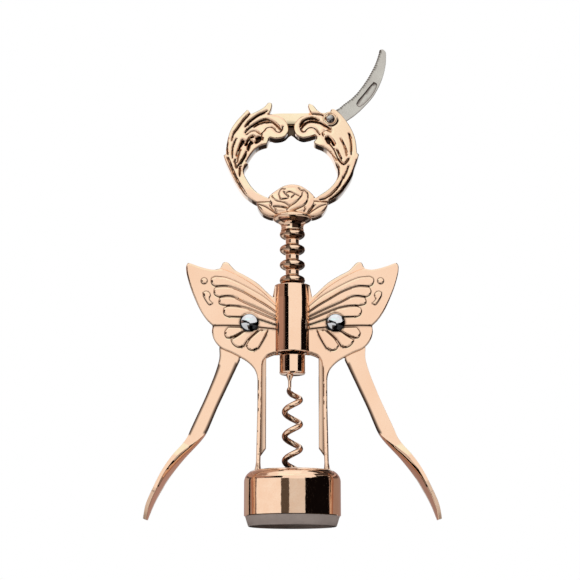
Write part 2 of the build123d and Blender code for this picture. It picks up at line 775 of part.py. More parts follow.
blade_head_y = -(handle_front + blade_boss_height)
with BuildPart() as blade_rivet:
    with BuildSketch(Plane((blade_pivot_x, blade_head_y, blade_pivot_height), x_dir=(1, 0, 0), z_dir=(0, 0, -1))):
        with BuildLine():
            dome(blade_rivet_head_radius, blade_rivet_head_height)
        make_face()
    revolve(axis=Axis((blade_pivot_x, blade_head_y, blade_pivot_height), (0, 1, 0)))
    with BuildSketch(Plane((blade_pivot_x, back_depth, blade_pivot_height), x_dir=(1, 0, 0), z_dir=(0, 0, 1))):
        with BuildLine():
            dome(blade_rivet_head_radius, blade_rivet_head_height)
        make_face()
    revolve(axis=Axis((blade_pivot_x, back_depth, blade_pivot_height), (0, 1, 0)))
    with BuildSketch(front_plane(back_depth)):
        with Locations((blade_pivot_x, blade_pivot_height)):
            Circle(blade_rivet_radius)
    extrude(amount=back_depth - blade_head_y)
blade_rivet.part.label = "blade_rivet"
export_step(blade_rivet.part, "parts/blade_rivet.step")
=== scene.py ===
from math import atan2, cos, degrees, hypot, pi, radians, sin, sqrt

import bpy
import numpy as np
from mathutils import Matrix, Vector
from mathutils.geometry import delaunay_2d_cdt


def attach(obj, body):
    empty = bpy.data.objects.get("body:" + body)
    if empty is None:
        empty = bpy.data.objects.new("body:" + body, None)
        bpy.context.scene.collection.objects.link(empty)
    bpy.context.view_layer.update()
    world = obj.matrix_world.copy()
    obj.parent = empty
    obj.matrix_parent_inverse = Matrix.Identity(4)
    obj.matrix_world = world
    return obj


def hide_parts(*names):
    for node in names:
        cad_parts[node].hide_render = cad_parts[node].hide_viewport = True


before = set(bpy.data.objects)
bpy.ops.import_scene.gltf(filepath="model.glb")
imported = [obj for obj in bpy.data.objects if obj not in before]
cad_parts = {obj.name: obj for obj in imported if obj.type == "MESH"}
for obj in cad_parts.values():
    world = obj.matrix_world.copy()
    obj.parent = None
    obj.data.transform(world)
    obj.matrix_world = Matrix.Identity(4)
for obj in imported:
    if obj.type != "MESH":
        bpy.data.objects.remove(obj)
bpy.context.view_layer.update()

# Butterfly wing corkscrew. Sizes are in millimetres and turned into metres as meshes are made.
# x runs across the levers, z is up, and the front faces -y.
MM = 0.001

# Frame casting
PIVOT_X = 16.304
PIVOT_Z = 76.3
PLATE_BACK = -1.95
PLATE_FRONT = -3.15
WING_FRONT = -3.62
REAR_FRONT = 1.95
REAR_BACK = 3.45
RIVET_HOLE = 2.0
LUG_RADIUS = 6.2
BARREL_RADIUS = 7.07
BARREL_BORE = 5.02
BARREL_BOTTOM = 65.0
BARREL_TOP = 91.1
POCKET_RADIUS = 13.86
POCKET_WIDTH = 3.9
COLLAR_RADIUS = 18.0
COLLAR_BOTTOM = 3.8
COLLAR_TOP = 20.8
CAVITY_RADIUS = 16.25
CAVITY_TOP = 16.05
CORK_HOLE = 11.8

# Levers and their gear sectors
LEVER_HALF = 1.8
LEVER_BORE = 2.05
GEAR_PITCH = 12.414
GEAR_TIP = 13.56
GEAR_ROOT = 11.15

# Ring rack, drive shaft and worm
RING_RADIUS = 4.92
RING_ROOT = 2.58
RING_PITCH = 6.0
RING_HEIGHTS = [69.2 + RING_PITCH * k for k in range(8)]
RACK_BORE = 1.55
RACK_BOTTOM = 65.4
RACK_TOP = 113.3
WORM_PITCH = 9.2
WORM_RADIUS = 2.9
WORM_FOOT = 19.72
WIRE_RADIUS = 1.1

# Handle and foil blade
NECK_BOTTOM = 113.51
HANDLE_FRONT = -1.2
HANDLE_REAR = 3.4
SLOT_HALF = 0.68
BLADE_X = 14.75
BLADE_Z = 156.41
BLADE_HALF = 0.5
CORE_HALF = 0.7
ROSE_FRONT = -3.6
LEAF_FRONT = -2.6
LEAF_REAR = 3.2

# Meshes of the cast plates: points nearer than this are one, step along an outline, places of the rows round
# an edge and beside a carved line, and how many points are measured at a time
SAME_POINT = 0.02
RIM_STEP = 0.7
EDGE_ANGLES = (24, 44, 66, 90)
LINE_OFFSETS = (-0.04, 0.04, -0.15, 0.15, -0.3, 0.3, -0.5, 0.5)
BATCH = 4000


# ---------------------------------------------------------------- modelling helpers
def clear():
    """Leaves edit mode and deselects everything."""
    if bpy.context.object and bpy.context.object.mode != "OBJECT":
        bpy.ops.object.mode_set(mode="OBJECT")
    bpy.ops.object.select_all(action="DESELECT")


def pick(piece):
    clear()
    piece.select_set(True)
    bpy.context.view_layer.objects.active = piece


def modify(piece, kind, **values):
    """Adds a modifier and applies it."""
    pick(piece)
    modifier = piece.modifiers.new(kind.title(), kind)
    for key, value in values.items():
        setattr(modifier, key, value)
    bpy.ops.object.modifier_apply(modifier=modifier.name)


def settle(piece, smooth=35):
    """Merges doubles, turns the faces outwards, applies the place and shades smooth up to an angle."""
    pick(piece)
    bpy.ops.object.transform_apply(location=True, rotation=True, scale=True)
    bpy.ops.object.mode_set(mode="EDIT")
    bpy.ops.mesh.select_all(action="SELECT")
    bpy.ops.mesh.remove_doubles(threshold=1e-7)
    bpy.ops.mesh.normals_make_consistent(inside=False)
    bpy.ops.object.mode_set(mode="OBJECT")
    bpy.ops.object.shade_smooth_by_angle(angle=radians(smooth))
    return piece


def laid_down(piece, x, z):
    """Turns a piece that was made upright so that its top faces the front, and puts it in its place."""
    piece.rotation_euler = (pi / 2, 0, 0)
    piece.location = (x * MM, 0, z * MM)
    return settle(piece, 50)


def weld(name, *pieces):
    """Joins several castings into one piece."""
    pick(pieces[0])
    for piece in pieces[1:]:
        piece.select_set(True)
    bpy.ops.object.join()
    joined = bpy.context.object
    joined.name = name
    joined.data.name = name
    return joined


def place(name, points, faces):
    """A piece from points in millimetres."""
    mesh = bpy.data.meshes.new(name)
    mesh.from_pydata([tuple(c * MM for c in p) for p in points], [], faces)
    mesh.update()
    piece = bpy.data.objects.new(name, mesh)
    bpy.context.scene.collection.objects.link(piece)
    return piece


def twin(piece, name):
    """The same casting for the other side, with its own mesh."""
    pick(piece)
    bpy.ops.object.duplicate()
    copy = bpy.context.object
    copy.name = name
    copy.data.name = name
    bpy.ops.object.mode_set(mode="EDIT")
    bpy.ops.mesh.select_all(action="SELECT")
    bpy.ops.transform.resize(value=(-1, 1, 1), center_override=(0, 0, 0))
    bpy.ops.mesh.normals_make_consistent(inside=False)
    bpy.ops.object.mode_set(mode="OBJECT")
    return copy


def supported(stations, margin):
    """Adds a row near both ends of every long run, clear of its rounded edge, so that it shades straight."""
    rows = [stations[0]]
    for (r0, z0), (r1, z1) in zip(stations, stations[1:]):
        length = hypot(r1 - r0, z1 - z0)
        if length > 0.2 + 2.4 * margin and min(r0, r1) > 0.1:
            for t in (margin / length, 1 - margin / length):
                rows.append((r0 + (r1 - r0) * t, z0 + (z1 - z0) * t))
        rows.append((r1, z1))
    return rows


def turned(name, stations, centre=(0, 0), segments=96, start="open", end="open", edge=0.0, facets=3):
    """A piece turned on a lathe about a vertical axis: a ring extruded and scaled from station to station.
    Each station is (radius, height). Either end is open or cap, and the last end may be a pole."""
    x, y = centre
    stations = supported(stations, 0.06 + edge)
    radius, height = stations[0]
    clear()
    bpy.ops.mesh.primitive_circle_add(
        vertices=segments,
        radius=radius * MM,
        fill_type="NGON" if start == "cap" else "NOTHING",
        location=(x * MM, y * MM, height * MM),
    )
    piece = bpy.context.object
    piece.name = name
    piece.data.name = name
    bpy.ops.object.mode_set(mode="EDIT")
    bpy.ops.mesh.select_all(action="SELECT")
    for (r0, z0), (r1, z1) in zip(stations, stations[1:]):
        bpy.ops.mesh.extrude_region_move(TRANSFORM_OT_translate={"value": (0, 0, (z1 - z0) * MM)})
        bpy.ops.transform.resize(value=(r1 / r0, r1 / r0, 1), center_override=(x * MM, y * MM, z1 * MM))
    if end == "cap" and start != "cap":
        bpy.ops.mesh.edge_face_add()
    if end == "pole":
        bpy.ops.mesh.merge(type="CENTER")
    bpy.ops.object.mode_set(mode="OBJECT")
    settle(piece)
    if edge:
        modify(
            piece, "BEVEL", width=edge * MM, segments=facets, limit_method="ANGLE", angle_limit=radians(28),
            use_clamp_overlap=True,
        )
        settle(piece)
    return piece


def arc(centre, radius, start, stop, count):
    """Stations along an arc, angles in degrees from the outward direction."""
    r, z = centre
    angles = [radians(start + (stop - start) * k / count) for k in range(count + 1)]
    return [(r + radius * cos(a), z + radius * sin(a)) for a in angles]


def flow(points, step=0.5, closed=False):
    """A smooth line through points, sampled about every step."""
    p = np.array(points, float)[:, :2]
    if closed:
        p = np.vstack([p[-1], p, p[0], p[1]])
    else:
        p = np.vstack([2 * p[0] - p[1], p, 2 * p[-1] - p[-2]])
    out = []
    for a, b, c, d in zip(p, p[1:], p[2:], p[3:]):
        t1 = np.linalg.norm(b - a) ** 0.5
        t2 = t1 + np.linalg.norm(c - b) ** 0.5
        t3 = t2 + np.linalg.norm(d - c) ** 0.5
        count = max(2, int(np.linalg.norm(c - b) / step + 0.5))
        for t in np.linspace(t1, t2, count, endpoint=False):
            u = (t1 - t) / t1 * a + t / t1 * b
            v = (t2 - t) / (t2 - t1) * b + (t - t1) / (t2 - t1) * c
            w = (t3 - t) / (t3 - t2) * c + (t - t2) / (t3 - t2) * d
            u = (t2 - t) / t2 * u + t / t2 * v
            w = (t3 - t) / (t3 - t1) * v + (t - t1) / (t3 - t1) * w
            out.append(tuple((t2 - t) / (t2 - t1) * u + (t - t1) / (t2 - t1) * w))
    if not closed:
        out.append(tuple(p[-2]))
    return out


def chain(*runs):
    """Several runs as one closed outline, without doubled points."""
    out = []
    for run in runs:
        for point in run:
            if not out or hypot(point[0] - out[-1][0], point[1] - out[-1][1]) > SAME_POINT:
                out.append((float(point[0]), float(point[1])))
    if hypot(out[0][0] - out[-1][0], out[0][1] - out[-1][1]) < SAME_POINT:
        out.pop()
    return out


def straight(a, b, step=0.8):
    """A straight run from a to b in equal parts, each about a step long."""
    count = max(1, int(hypot(b[0] - a[0], b[1] - a[1]) / step))
    return [(a[0] + (b[0] - a[0]) * k / count, a[1] + (b[1] - a[1]) * k / count) for k in range(count + 1)]


def circle(centre, radius, count=48):
    x, z = centre
    turns = [2 * pi * k / count for k in range(count)]
    return [(x + radius * cos(a), z + radius * sin(a)) for a in turns]


def backwards(line):
    return list(reversed(line))


def looped(line):
    """A closed line with its first point repeated at the end."""
    return line + line[:1]


def area(loop):
    """Area of a closed outline, positive where it turns to the left."""
    p = np.array(loop)
    q = np.roll(p, -1, 0)
    return float((p[:, 0] * q[:, 1] - q[:, 0] * p[:, 1]).sum() / 2)


def within(points, loop):
    """Which points lie inside a closed outline."""
    p, a = np.asarray(points, float), np.asarray(loop, float)
    b = np.roll(a, -1, 0)
    inside = np.zeros(len(p), bool)
    for (x0, z0), (x1, z1) in zip(a, b):
        if z0 == z1:
            continue
        crosses = (z0 > p[:, 1]) != (z1 > p[:, 1])
        inside ^= crosses & (p[:, 0] < (x1 - x0) * (p[:, 1] - z0) / (z1 - z0) + x0)
    return inside


def on_plate(points, loops):
    """Which points lie inside the rim, which is the first loop, and outside the holes."""
    inside = within(points, loops[0])
    for hole in loops[1:]:
        inside &= ~within(points, hole)
    return inside


def reach(points, line, closed=True):
    """Distance of each point to a line, and the place along it in points of the line."""
    p, a = np.asarray(points, float), np.asarray(line, float)[:, :2]
    b = np.roll(a, -1, 0)
    if not closed:
        a, b = a[:-1], b[:-1]
    run = b - a
    length = np.maximum((run**2).sum(1), 1e-12)
    best = np.full(len(p), 1e9)
    spot = np.zeros(len(p))
    for start in range(0, len(p), BATCH):
        q = p[start : start + BATCH, None, :] - a[None]
        t = np.clip((q * run[None]).sum(2) / length, 0, 1)
        gap = ((q - t[..., None] * run[None]) ** 2).sum(2)
        nearest = gap.argmin(1)
        rows = np.arange(len(nearest))
        best[start : start + BATCH] = np.sqrt(gap[rows, nearest])
        spot[start : start + BATCH] = nearest + t[rows, nearest]
    return best, spot


def shoulder(gap, width):
    """Height from 0 to 1 of an edge rounded over a width."""
    t = np.clip(gap / width, 0, 1)
    return np.sqrt(1 - (1 - t) ** 2)


def fading(away, width):
    """1 on a line, about a third at a width from it, and 0 far off."""
    return np.exp(-((away / width) ** 2))


def normals_of(line, closed):
    """Unit normals of a line, on its left."""
    p = np.array(line)
    along = np.roll(p, -1, 0) - np.roll(p, 1, 0) if closed else np.gradient(p, axis=0)
    along /= np.maximum(np.linalg.norm(along, axis=1), 1e-9)[:, None]
    return np.stack([-along[:, 1], along[:, 0]], 1)


def plate_spots(loops, lines, step, edge):
    """Where a plate may get points inside its outline: rows over the rounded edge, rows beside the carved
    lines, and a grid. Each spot comes with its least distance to the outline and to other points."""
    spots = []
    rows = [edge * (1 - cos(radians(a))) for a in EDGE_ANGLES] + [edge + 0.2] if edge else []
    for loop in loops:
        inward = normals_of(loop, True)
        for row in rows:
            apart = 0.06 if row < edge * 0.7 else 0.12
            spots += [(q, row * 0.93, apart) for q in np.array(loop) + inward * row]
    for line in lines:
        across = normals_of(line, False)
        for offset in LINE_OFFSETS:
            spots += [(q, edge * 0.6, 0.05 + abs(offset) * 0.45) for q in np.array(line) + across * offset]
    if step:
        low, high = np.vstack(loops).min(0), np.vstack(loops).max(0)
        for j, z in enumerate(np.arange(low[1], high[1], step * 0.866)):
            for x in np.arange(low[0] + (j % 2) * step / 2, high[0], step):
                spots.append((np.array((x, z)), edge + step * 0.35, step * 0.5))
    return spots


def spaced(spots, loops, cell=0.4):
    """The spots that lie on the plate and keep clear of the outline and of all points before them."""
    if not spots:
        return []
    places = np.array([q for q, _, _ in spots])
    to_outline = np.array([least for _, least, _ in spots])
    keep = on_plate(places, loops)
    for loop in loops:
        keep &= reach(places, loop)[0] >= to_outline
    taken, kept = {}, []
    for x, z in (point for loop in loops for point in loop):
        taken.setdefault((int(x // cell), int(z // cell)), []).append((x, z))
    for index in np.nonzero(keep)[0]:
        (x, z), apart = places[index], spots[index][2]
        span = int(apart // cell) + 1
        i, j = int(x // cell), int(z // cell)
        near = [
            other for a in range(i - span, i + span + 1) for b in range(j - span, j + span + 1)
            for other in taken.get((a, b), ())
        ]
        if all((x - u) ** 2 + (z - w) ** 2 >= apart * apart for u, w in near):
            taken.setdefault((i, j), []).append((x, z))
            kept.append((x, z))
    return kept


def plate_mesh(loops, lines, step, edge):
    """Points and triangles over a plate. The triangles all turn to the left."""
    points, edges = [], []
    for loop in loops:
        first = len(points)
        points += loop
        edges += [(first + k, first + (k + 1) % len(loop)) for k in range(len(loop))]
    points += spaced(plate_spots(loops, lines, step, edge), loops)
    flat, _, faces, *_ = delaunay_2d_cdt([Vector(q) for q in points], edges, [], 0, 1e-6, True)
    flat = np.array([(q.x, q.y) for q in flat])
    faces = np.array([f for f in faces if len(f) == 3])
    faces = faces[on_plate(flat[faces].mean(1), loops)]
    a, b, c = flat[faces[:, 0]], flat[faces[:, 1]], flat[faces[:, 2]]
    turn = (b[:, 0] - a[:, 0]) * (c[:, 1] - a[:, 1]) - (b[:, 1] - a[:, 1]) * (c[:, 0] - a[:, 0])
    return flat, np.where((turn < 0)[:, None], faces[:, ::-1], faces)


def carved(name, rim, holes=(), front=-1.0, back=1.0, relief=None, lines=(), step=0.0, edge=0.3,
           back_edge=None, shadow=0.7, even=True):
    """A plate cut to an outline, with rounded edges and a carved front. relief gives the height over the
    front and how much shade is painted there, from the points and their distance to the outline. lines are
    carved lines that the mesh follows. shadow is how much shade is painted on the undersides and walls of
    the relief, and even says that both sides of the middle are alike."""
    back_edge = edge if back_edge is None else back_edge
    loops = [list(rim) if area(rim) > 0 else backwards(rim)]
    loops += [backwards(hole) if area(hole) > 0 else list(hole) for hole in holes]
    loops = [chain(*[straight(a, b, RIM_STEP) for a, b in zip(loop, looped(loop)[1:])]) for loop in loops]
    flat, faces = plate_mesh(loops, lines, step, edge)
    gap = np.min([reach(flat, loop)[0] for loop in loops], axis=0)
    near_front = edge * (1 - shoulder(gap, edge)) if edge else 0 * gap
    near_back = back_edge * (1 - shoulder(gap, back_edge)) if back_edge else 0 * gap
    height, relief_dark = relief(flat, gap) if relief else (0 * gap, 0 * gap)
    fronts = [(x, front + d - h, z) for (x, z), d, h in zip(flat, near_front, height)]
    backs = [(x, back - d, z) for (x, z), d in zip(flat, near_back)]

    # The walls run between the border edges of the front and of the back
    sides = {(int(f[k]), int(f[(k + 1) % 3])) for f in faces for k in range(3)}
    border = [(i, j) for i, j in sides if (j, i) not in sides]
    used = sorted({int(v) for f in faces for v in f})
    new = {v: k for k, v in enumerate(used)}
    count = len(used)
    ring = sorted({i for i, _ in border} | {j for _, j in border})
    spot = {v: k for k, v in enumerate(ring)}
    outward = np.zeros((len(ring), 2))
    for i, j in border:
        step_x, step_z = flat[j] - flat[i]
        for v in (i, j):
            outward[spot[v]] += (step_z, -step_x)
    outward /= np.maximum(np.linalg.norm(outward, axis=1), 1e-9)[:, None]
    verts = [fronts[v] for v in used] + [backs[v] for v in used]
    verts += [(fronts[v][0], min(fronts[v][1] + 0.1, backs[v][1] - 0.02), fronts[v][2]) for v in ring]
    verts += [(backs[v][0], backs[v][1] - 0.01, backs[v][2]) for v in ring]
    polys = [tuple(new[int(v)] for v in f) for f in faces]
    polys += [tuple(new[int(v)] + count for v in reversed(f)) for f in faces]
    for i, j in border:
        here, there = (
            (new[v], 2 * count + spot[v], 2 * count + len(ring) + spot[v], new[v] + count) for v in (i, j)
        )
        polys += [(there[k], here[k], here[k + 1], there[k + 1]) for k in range(3)]
    piece = place(name, verts, polys)

    # Painted shade: on the undersides of the relief, less on the back, on the walls by their own direction,
    # and the relief's own painted dark lines and hollows
    normals = np.zeros(len(verts) * 3)
    piece.data.vertices.foreach_get("normal", normals)
    normals = normals.reshape(-1, 3)
    side = np.sign([v[0] for v in verts]) if even else np.ones(len(verts))
    under = darkened(normals[:, 0] * side, normals[:, 2])
    under[: 2 * count] *= 0.6
    under[count : 2 * count] *= 0.3
    wall = darkened(outward[:, 0] * side[2 * count : 2 * count + len(ring)], outward[:, 1])
    under[2 * count :] = np.tile(wall, 2)
    depth = np.zeros(len(verts))
    depth[:count] = relief_dark[used]
    paint_shade(piece, depth + under * shadow)
    pick(piece)
    bpy.ops.object.shade_smooth_by_angle(angle=radians(38))
    return piece


def darkened(nx, nz):
    """Painted shade from a normal: how far a surface looks down or away from the middle."""
    return np.clip((-0.9 * nz + 0.5 * nx - 0.22) / 0.4, 0, 1)


def paint_shade(piece, values):
    """Writes how much shade is painted on each point, for the finish to read."""
    mask = piece.data.attributes.get("painted_shade") or piece.data.attributes.new("painted_shade", "FLOAT", "POINT")
    mask.data.foreach_set("value", np.clip(values, 0, 1).astype(np.float32))


def shade_so_far(piece):
    """How much shade is painted on each point so far."""
    return np.array([e.value for e in piece.data.attributes["painted_shade"].data])


def places_of(piece):
    """The piece's points in millimetres."""
    return np.array([v.co for v in piece.data.vertices]) / MM


def bearing_of(places):
    """Direction of each point round the upright axis: 0 is the front and 90 is +x, in degrees."""
    return np.degrees(np.arctan2(places[:, 0], -places[:, 1]))


def shade_undersides(piece, shadow):
    """Paints shade on the underside and outside of a piece, from its normals."""
    normals = np.array([v.normal for v in piece.data.vertices])
    paint_shade(piece, shadow * darkened(normals[:, 0] * np.sign(places_of(piece)[:, 0]), normals[:, 2]))


# ---------------------------------------------------------------- finishes
def node(tree, kind, **values):
    made = tree.nodes.new(kind)
    for key, value in values.items():
        setattr(made, key, value)
    return made


def link(tree, source, outlet, target, inlet):
    tree.links.new(source.outputs[outlet], target.inputs[inlet])


def ramp(tree, stops):
    """A colour ramp from (position, colour) pairs."""
    made = node(tree, "ShaderNodeValToRGB")
    elements = made.color_ramp.elements
    while len(elements) < len(stops):
        elements.new(0.5)
    for element, (position, colour) in zip(elements, stops):
        element.position = position
        element.color = (*colour, 1)
    return made


def polish_group():
    """Fine wipe marks and slow unevenness of a polished or plated surface."""
    tree = bpy.data.node_groups.new("polish_marks", "ShaderNodeTree")
    for name in ("Scale", "Wave"):
        tree.interface.new_socket(name=name, in_out="INPUT", socket_type="NodeSocketFloat")
    for name in ("Mask", "Height"):
        tree.interface.new_socket(name=name, in_out="OUTPUT", socket_type="NodeSocketFloat")
    inlet, outlet = node(tree, "NodeGroupInput"), node(tree, "NodeGroupOutput")
    surface = node(tree, "ShaderNodeTexCoord")
    wide = node(tree, "ShaderNodeTexNoise")
    fine = node(tree, "ShaderNodeTexNoise")
    wide.inputs["Detail"].default_value = 2
    fine.inputs["Detail"].default_value = 5
    link(tree, surface, "Object", wide, "Vector")
    link(tree, surface, "Object", fine, "Vector")
    link(tree, inlet, "Wave", wide, "Scale")
    link(tree, inlet, "Scale", fine, "Scale")
    blend = node(tree, "ShaderNodeMath", operation="MULTIPLY")
    link(tree, wide, "Fac", blend, 0)
    link(tree, fine, "Fac", blend, 1)
    link(tree, blend, 0, outlet, "Mask")
    link(tree, wide, "Fac", outlet, "Height")
    return tree


POLISH = polish_group()


def marked(name, scale, wave, stops):
    """A new material whose colour varies with the wipe marks: material, tree, shader, marks and colour."""
    material = bpy.data.materials.new(name)
    material.use_nodes = True
    tree = material.node_tree
    marks = node(tree, "ShaderNodeGroup", node_tree=POLISH)
    marks.inputs["Scale"].default_value = scale
    marks.inputs["Wave"].default_value = wave
    tone = ramp(tree, stops)
    link(tree, marks, "Mask", tone, "Fac")
    return material, tree, tree.nodes["Principled BSDF"], marks, tone


def uneven(tree, shader, marks, output, strength, distance):
    """Bumps on the surface, from one output of the wipe marks."""
    relief = node(tree, "ShaderNodeBump")
    relief.inputs["Strength"].default_value = strength
    relief.inputs["Distance"].default_value = distance
    link(tree, marks, output, relief, "Height")
    link(tree, relief, "Normal", shader, "Normal")


def metal(name, colour, shade, rough, wave=60.0, scale=2200.0, bump=0.02, shadow_tone=(0.035, 0.016, 0.010)):
    """Polished or plated metal: colour and roughness vary a little with wipe marks, the surface waves
    slightly, and the painted shade on the points darkens the colour towards a shadow tone."""
    material, tree, shader, marks, tone = marked(name, scale, wave, [(0.12, shade), (0.38, colour)])
    shader.inputs["Metallic"].default_value = 1.0
    # The painted shade of each point darkens the colour
    painted_shade = node(tree, "ShaderNodeAttribute", attribute_name="painted_shade")
    shadowed = node(tree, "ShaderNodeMix", data_type="RGBA")
    shadowed.inputs["B"].default_value = (*shadow_tone, 1)
    link(tree, painted_shade, "Fac", shadowed, "Factor")
    link(tree, tone, "Color", shadowed, "A")
    link(tree, shadowed, "Result", shader, "Base Color")
    gloss = node(tree, "ShaderNodeMapRange")
    limits = {"From Min": 0.1, "From Max": 0.45, "To Min": rough * 1.4, "To Max": rough * 0.7}
    for limit, value in limits.items():
        gloss.inputs[limit].default_value = value
    link(tree, marks, "Mask", gloss, "Value")
    link(tree, gloss, "Result", shader, "Roughness")
    uneven(tree, shader, marks, "Height", bump, 0.001)
    return material


GOLD, GOLD_SHADE = (0.97, 0.69, 0.50), (0.93, 0.62, 0.43)
rose_gold = metal("rose_gold_plate", GOLD, GOLD_SHADE, 0.055)
collar_gold = metal("rose_gold_collar", GOLD, GOLD_SHADE, 0.055, wave=300.0, bump=0.03)
chrome = metal("chrome_rivets", (0.80, 0.80, 0.82), (0.72, 0.72, 0.74), 0.06, wave=90.0,
               shadow_tone=(0.02, 0.02, 0.022))
steel = metal("satin_blade_steel", (0.60, 0.53, 0.49), (0.52, 0.455, 0.42), 0.3, wave=120.0, scale=6500.0)
dark_steel = metal("burnished_rivet_steel", (0.62, 0.60, 0.58), (0.5, 0.48, 0.46), 0.2, wave=300.0)


def plastic():
    """Matte grey-brown moulded plastic with a fine eroded grain."""
    stops = [(0.1, (0.30, 0.245, 0.22)), (0.4, (0.37, 0.31, 0.28))]
    material, tree, shader, marks, tone = marked("insert_plastic", 3500.0, 160.0, stops)
    shader.inputs["Roughness"].default_value = 0.55
    link(tree, tone, "Color", shader, "Base Color")
    uneven(tree, shader, marks, "Mask", 0.15, 0.0003)
    return material


def finish(piece, material, slot, body, *nodes):
    """Gives a piece its finish, the body it rides on and the nodes it stands for."""
    piece.data.materials.clear()
    piece.data.materials.append(material)
    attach(piece, body)
    if nodes:
        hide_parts(*nodes)
    return piece


# ---------------------------------------------------------------- frame casting: wings
# Outlines of the left wing as (x, z), from the barrel outwards and down to the leg. The right one is its twin
horn = [(-9.3, 87.8), (-13.4, 91.7), (-17.8, 94.5), (-21.6, 96.6), (-23.3, 98.3), (-24.4, 99.5),
        (-25.5, 99.9)]
horn += [(-26.5, 99.5), (-27.0, 98.4), (-27.6, 97.2)]
crest = [(-27.6, 97.2), (-30.0, 96.8), (-33.0, 97.3), (-36.0, 98.2), (-39.0, 99.3), (-39.8, 99.4)]
wing_side = [(-39.8, 99.4), (-40.4, 98.4), (-40.4, 96.2), (-39.8, 93.4), (-38.7, 89.8), (-36.8, 85.0),
             (-34.7, 80.7)]
wing_side += [(-32.6, 77.6), (-30.2, 75.2)]
hind_side = [(-30.2, 75.2), (-30.4, 72.5), (-29.3, 69.3), (-26.7, 66.5), (-22.6, 64.6), (-19.4, 62.9),
             (-16.4, 60.9)]
hind_side += [(-14.2, 58.4), (-13.3, 56.0), (-13.1, 54.0)]
leg_side = [(-13.1, 54.0), (-13.1, 45.0), (-13.6, 20.0)]
arch = [(-12.0, 20.0), (-11.5, 45.0), (-11.5, 54.0), (-11.3, 60.2), (-10.7, 62.3), (-9.4, 63.7), (-7.0, 64.7)]

costal = [(-27.1, 97.2), (-25.0, 96.6), (-21.2, 94.8), (-16.9, 92.4), (-12.5, 89.3), (-9.4, 86.5),
          (-6.0, 83.2)]
waist = [(-30.4, 74.9), (-28.6, 75.1), (-19.6, 75.0), (-12.4, 74.4), (-6.0, 73.7)]
forewing = chain(flow(costal), straight((-6.0, 83.2), (-6.0, 73.7)), flow(backwards(waist)),
                 [(-33.0, 73.5), (-37.0, 79.0), (-41.0, 88.0), (-42.0, 101.0), (-33.0, 101.0), (-27.5, 98.5)])

cell_lines = [
    [(-5.8, 82.1), (-11.0, 86.4), (-16.8, 89.8), (-21.2, 92.1), (-25.6, 93.8), (-29.1, 94.1)],
    [(-5.8, 79.9), (-9.6, 82.6), (-13.9, 85.2), (-19.7, 88.5), (-24.7, 90.1), (-28.9, 90.0)],
    [(-5.8, 78.2), (-12.4, 81.4), (-18.2, 84.0), (-22.3, 86.0), (-24.7, 86.3), (-27.5, 85.9)],
    [(-5.8, 77.0), (-9.6, 78.6), (-15.4, 81.0), (-17.9, 81.8), (-21.1, 82.4), (-24.0, 82.6)],
    [(-5.8, 74.9), (-12.2, 77.1), (-16.0, 78.0), (-19.9, 78.1), (-23.7, 78.2)],
]
cell_ends = [(-30.9, 92.2), (-29.8, 88.1), (-27.9, 84.3), (-26.1, 80.4)]


def lowered(line, drop):
    return [(x, z - drop) for x, z in line]


def cell_between(upper, lower, tip):
    """One forewing cell: between two veins, with a lobed end."""
    head = [upper[-1], (tip[0] + 0.25, (upper[-1][1] + tip[1]) / 2 + 0.2), tip]
    head += [(tip[0] + 0.45, (lower[-1][1] + tip[1]) / 2 - 0.1), (lower[-1][0] + 0.1, lower[-1][1])]
    return chain(flow(lowered(upper, 0.2)), flow(lowered(head, 0.05)), flow(backwards(lowered(lower, -0.2))))


forewing_cells = [cell_between(*edges) for edges in zip(cell_lines, cell_lines[1:], cell_ends)]
hindwing_cells = [
    chain(flow([(-12.9, 74.2), (-24.3, 74.5)]), flow([(-24.3, 74.5), (-25.6, 72.4), (-25.0, 70.6),
                                                      (-23.8, 70.3)]),
          flow([(-23.8, 70.3), (-21.0, 71.5), (-18.4, 73.1)])),
    chain(flow([(-17.6, 73.1), (-20.8, 70.9), (-23.2, 69.6)]),
          flow([(-23.2, 69.6), (-22.4, 68.0), (-20.2, 66.7), (-18.5, 67.3)]),
          flow([(-18.5, 67.3), (-16.9, 69.7), (-12.9, 73.6)])),
    chain(flow([(-12.3, 73.3), (-15.8, 70.0), (-17.4, 67.5)]),
          flow([(-17.4, 67.5), (-16.6, 66.1), (-14.9, 65.6), (-12.9, 66.6)]),
          flow([(-12.9, 66.6), (-11.3, 69.2), (-9.3, 73.4)])),
]
comma = chain(flow([(-33.9, 87.9), (-32.7, 88.4), (-31.3, 87.6), (-31.0, 86.6)]),
              flow([(-31.0, 86.6), (-31.5, 85.2), (-30.9, 84.4), (-30.1, 83.6)]),
              flow([(-30.1, 83.6), (-31.3, 82.9), (-32.8, 84.6), (-33.8, 86.6), (-33.9, 87.9)]))
wing_dot = circle((-33.5, 92.3), 1.25, 24)

# Each cell of the wing with its rise, and the shift from which its points get the painted shadow
# strip beside it
wing_cells = [(cell, 0.36, (-0.1, 0.24)) for cell in forewing_cells]
wing_cells += [(cell, 0.42, (-0.3, 0.26)) for cell in hindwing_cells]
FOREWING_RISE = 0.5
MARK_RISE = 0.4
VEIN_DEPTH = 0.16
WING_RISE = 0.95
WAIST_TOP = 76.0
RIVET_RING = 3.65


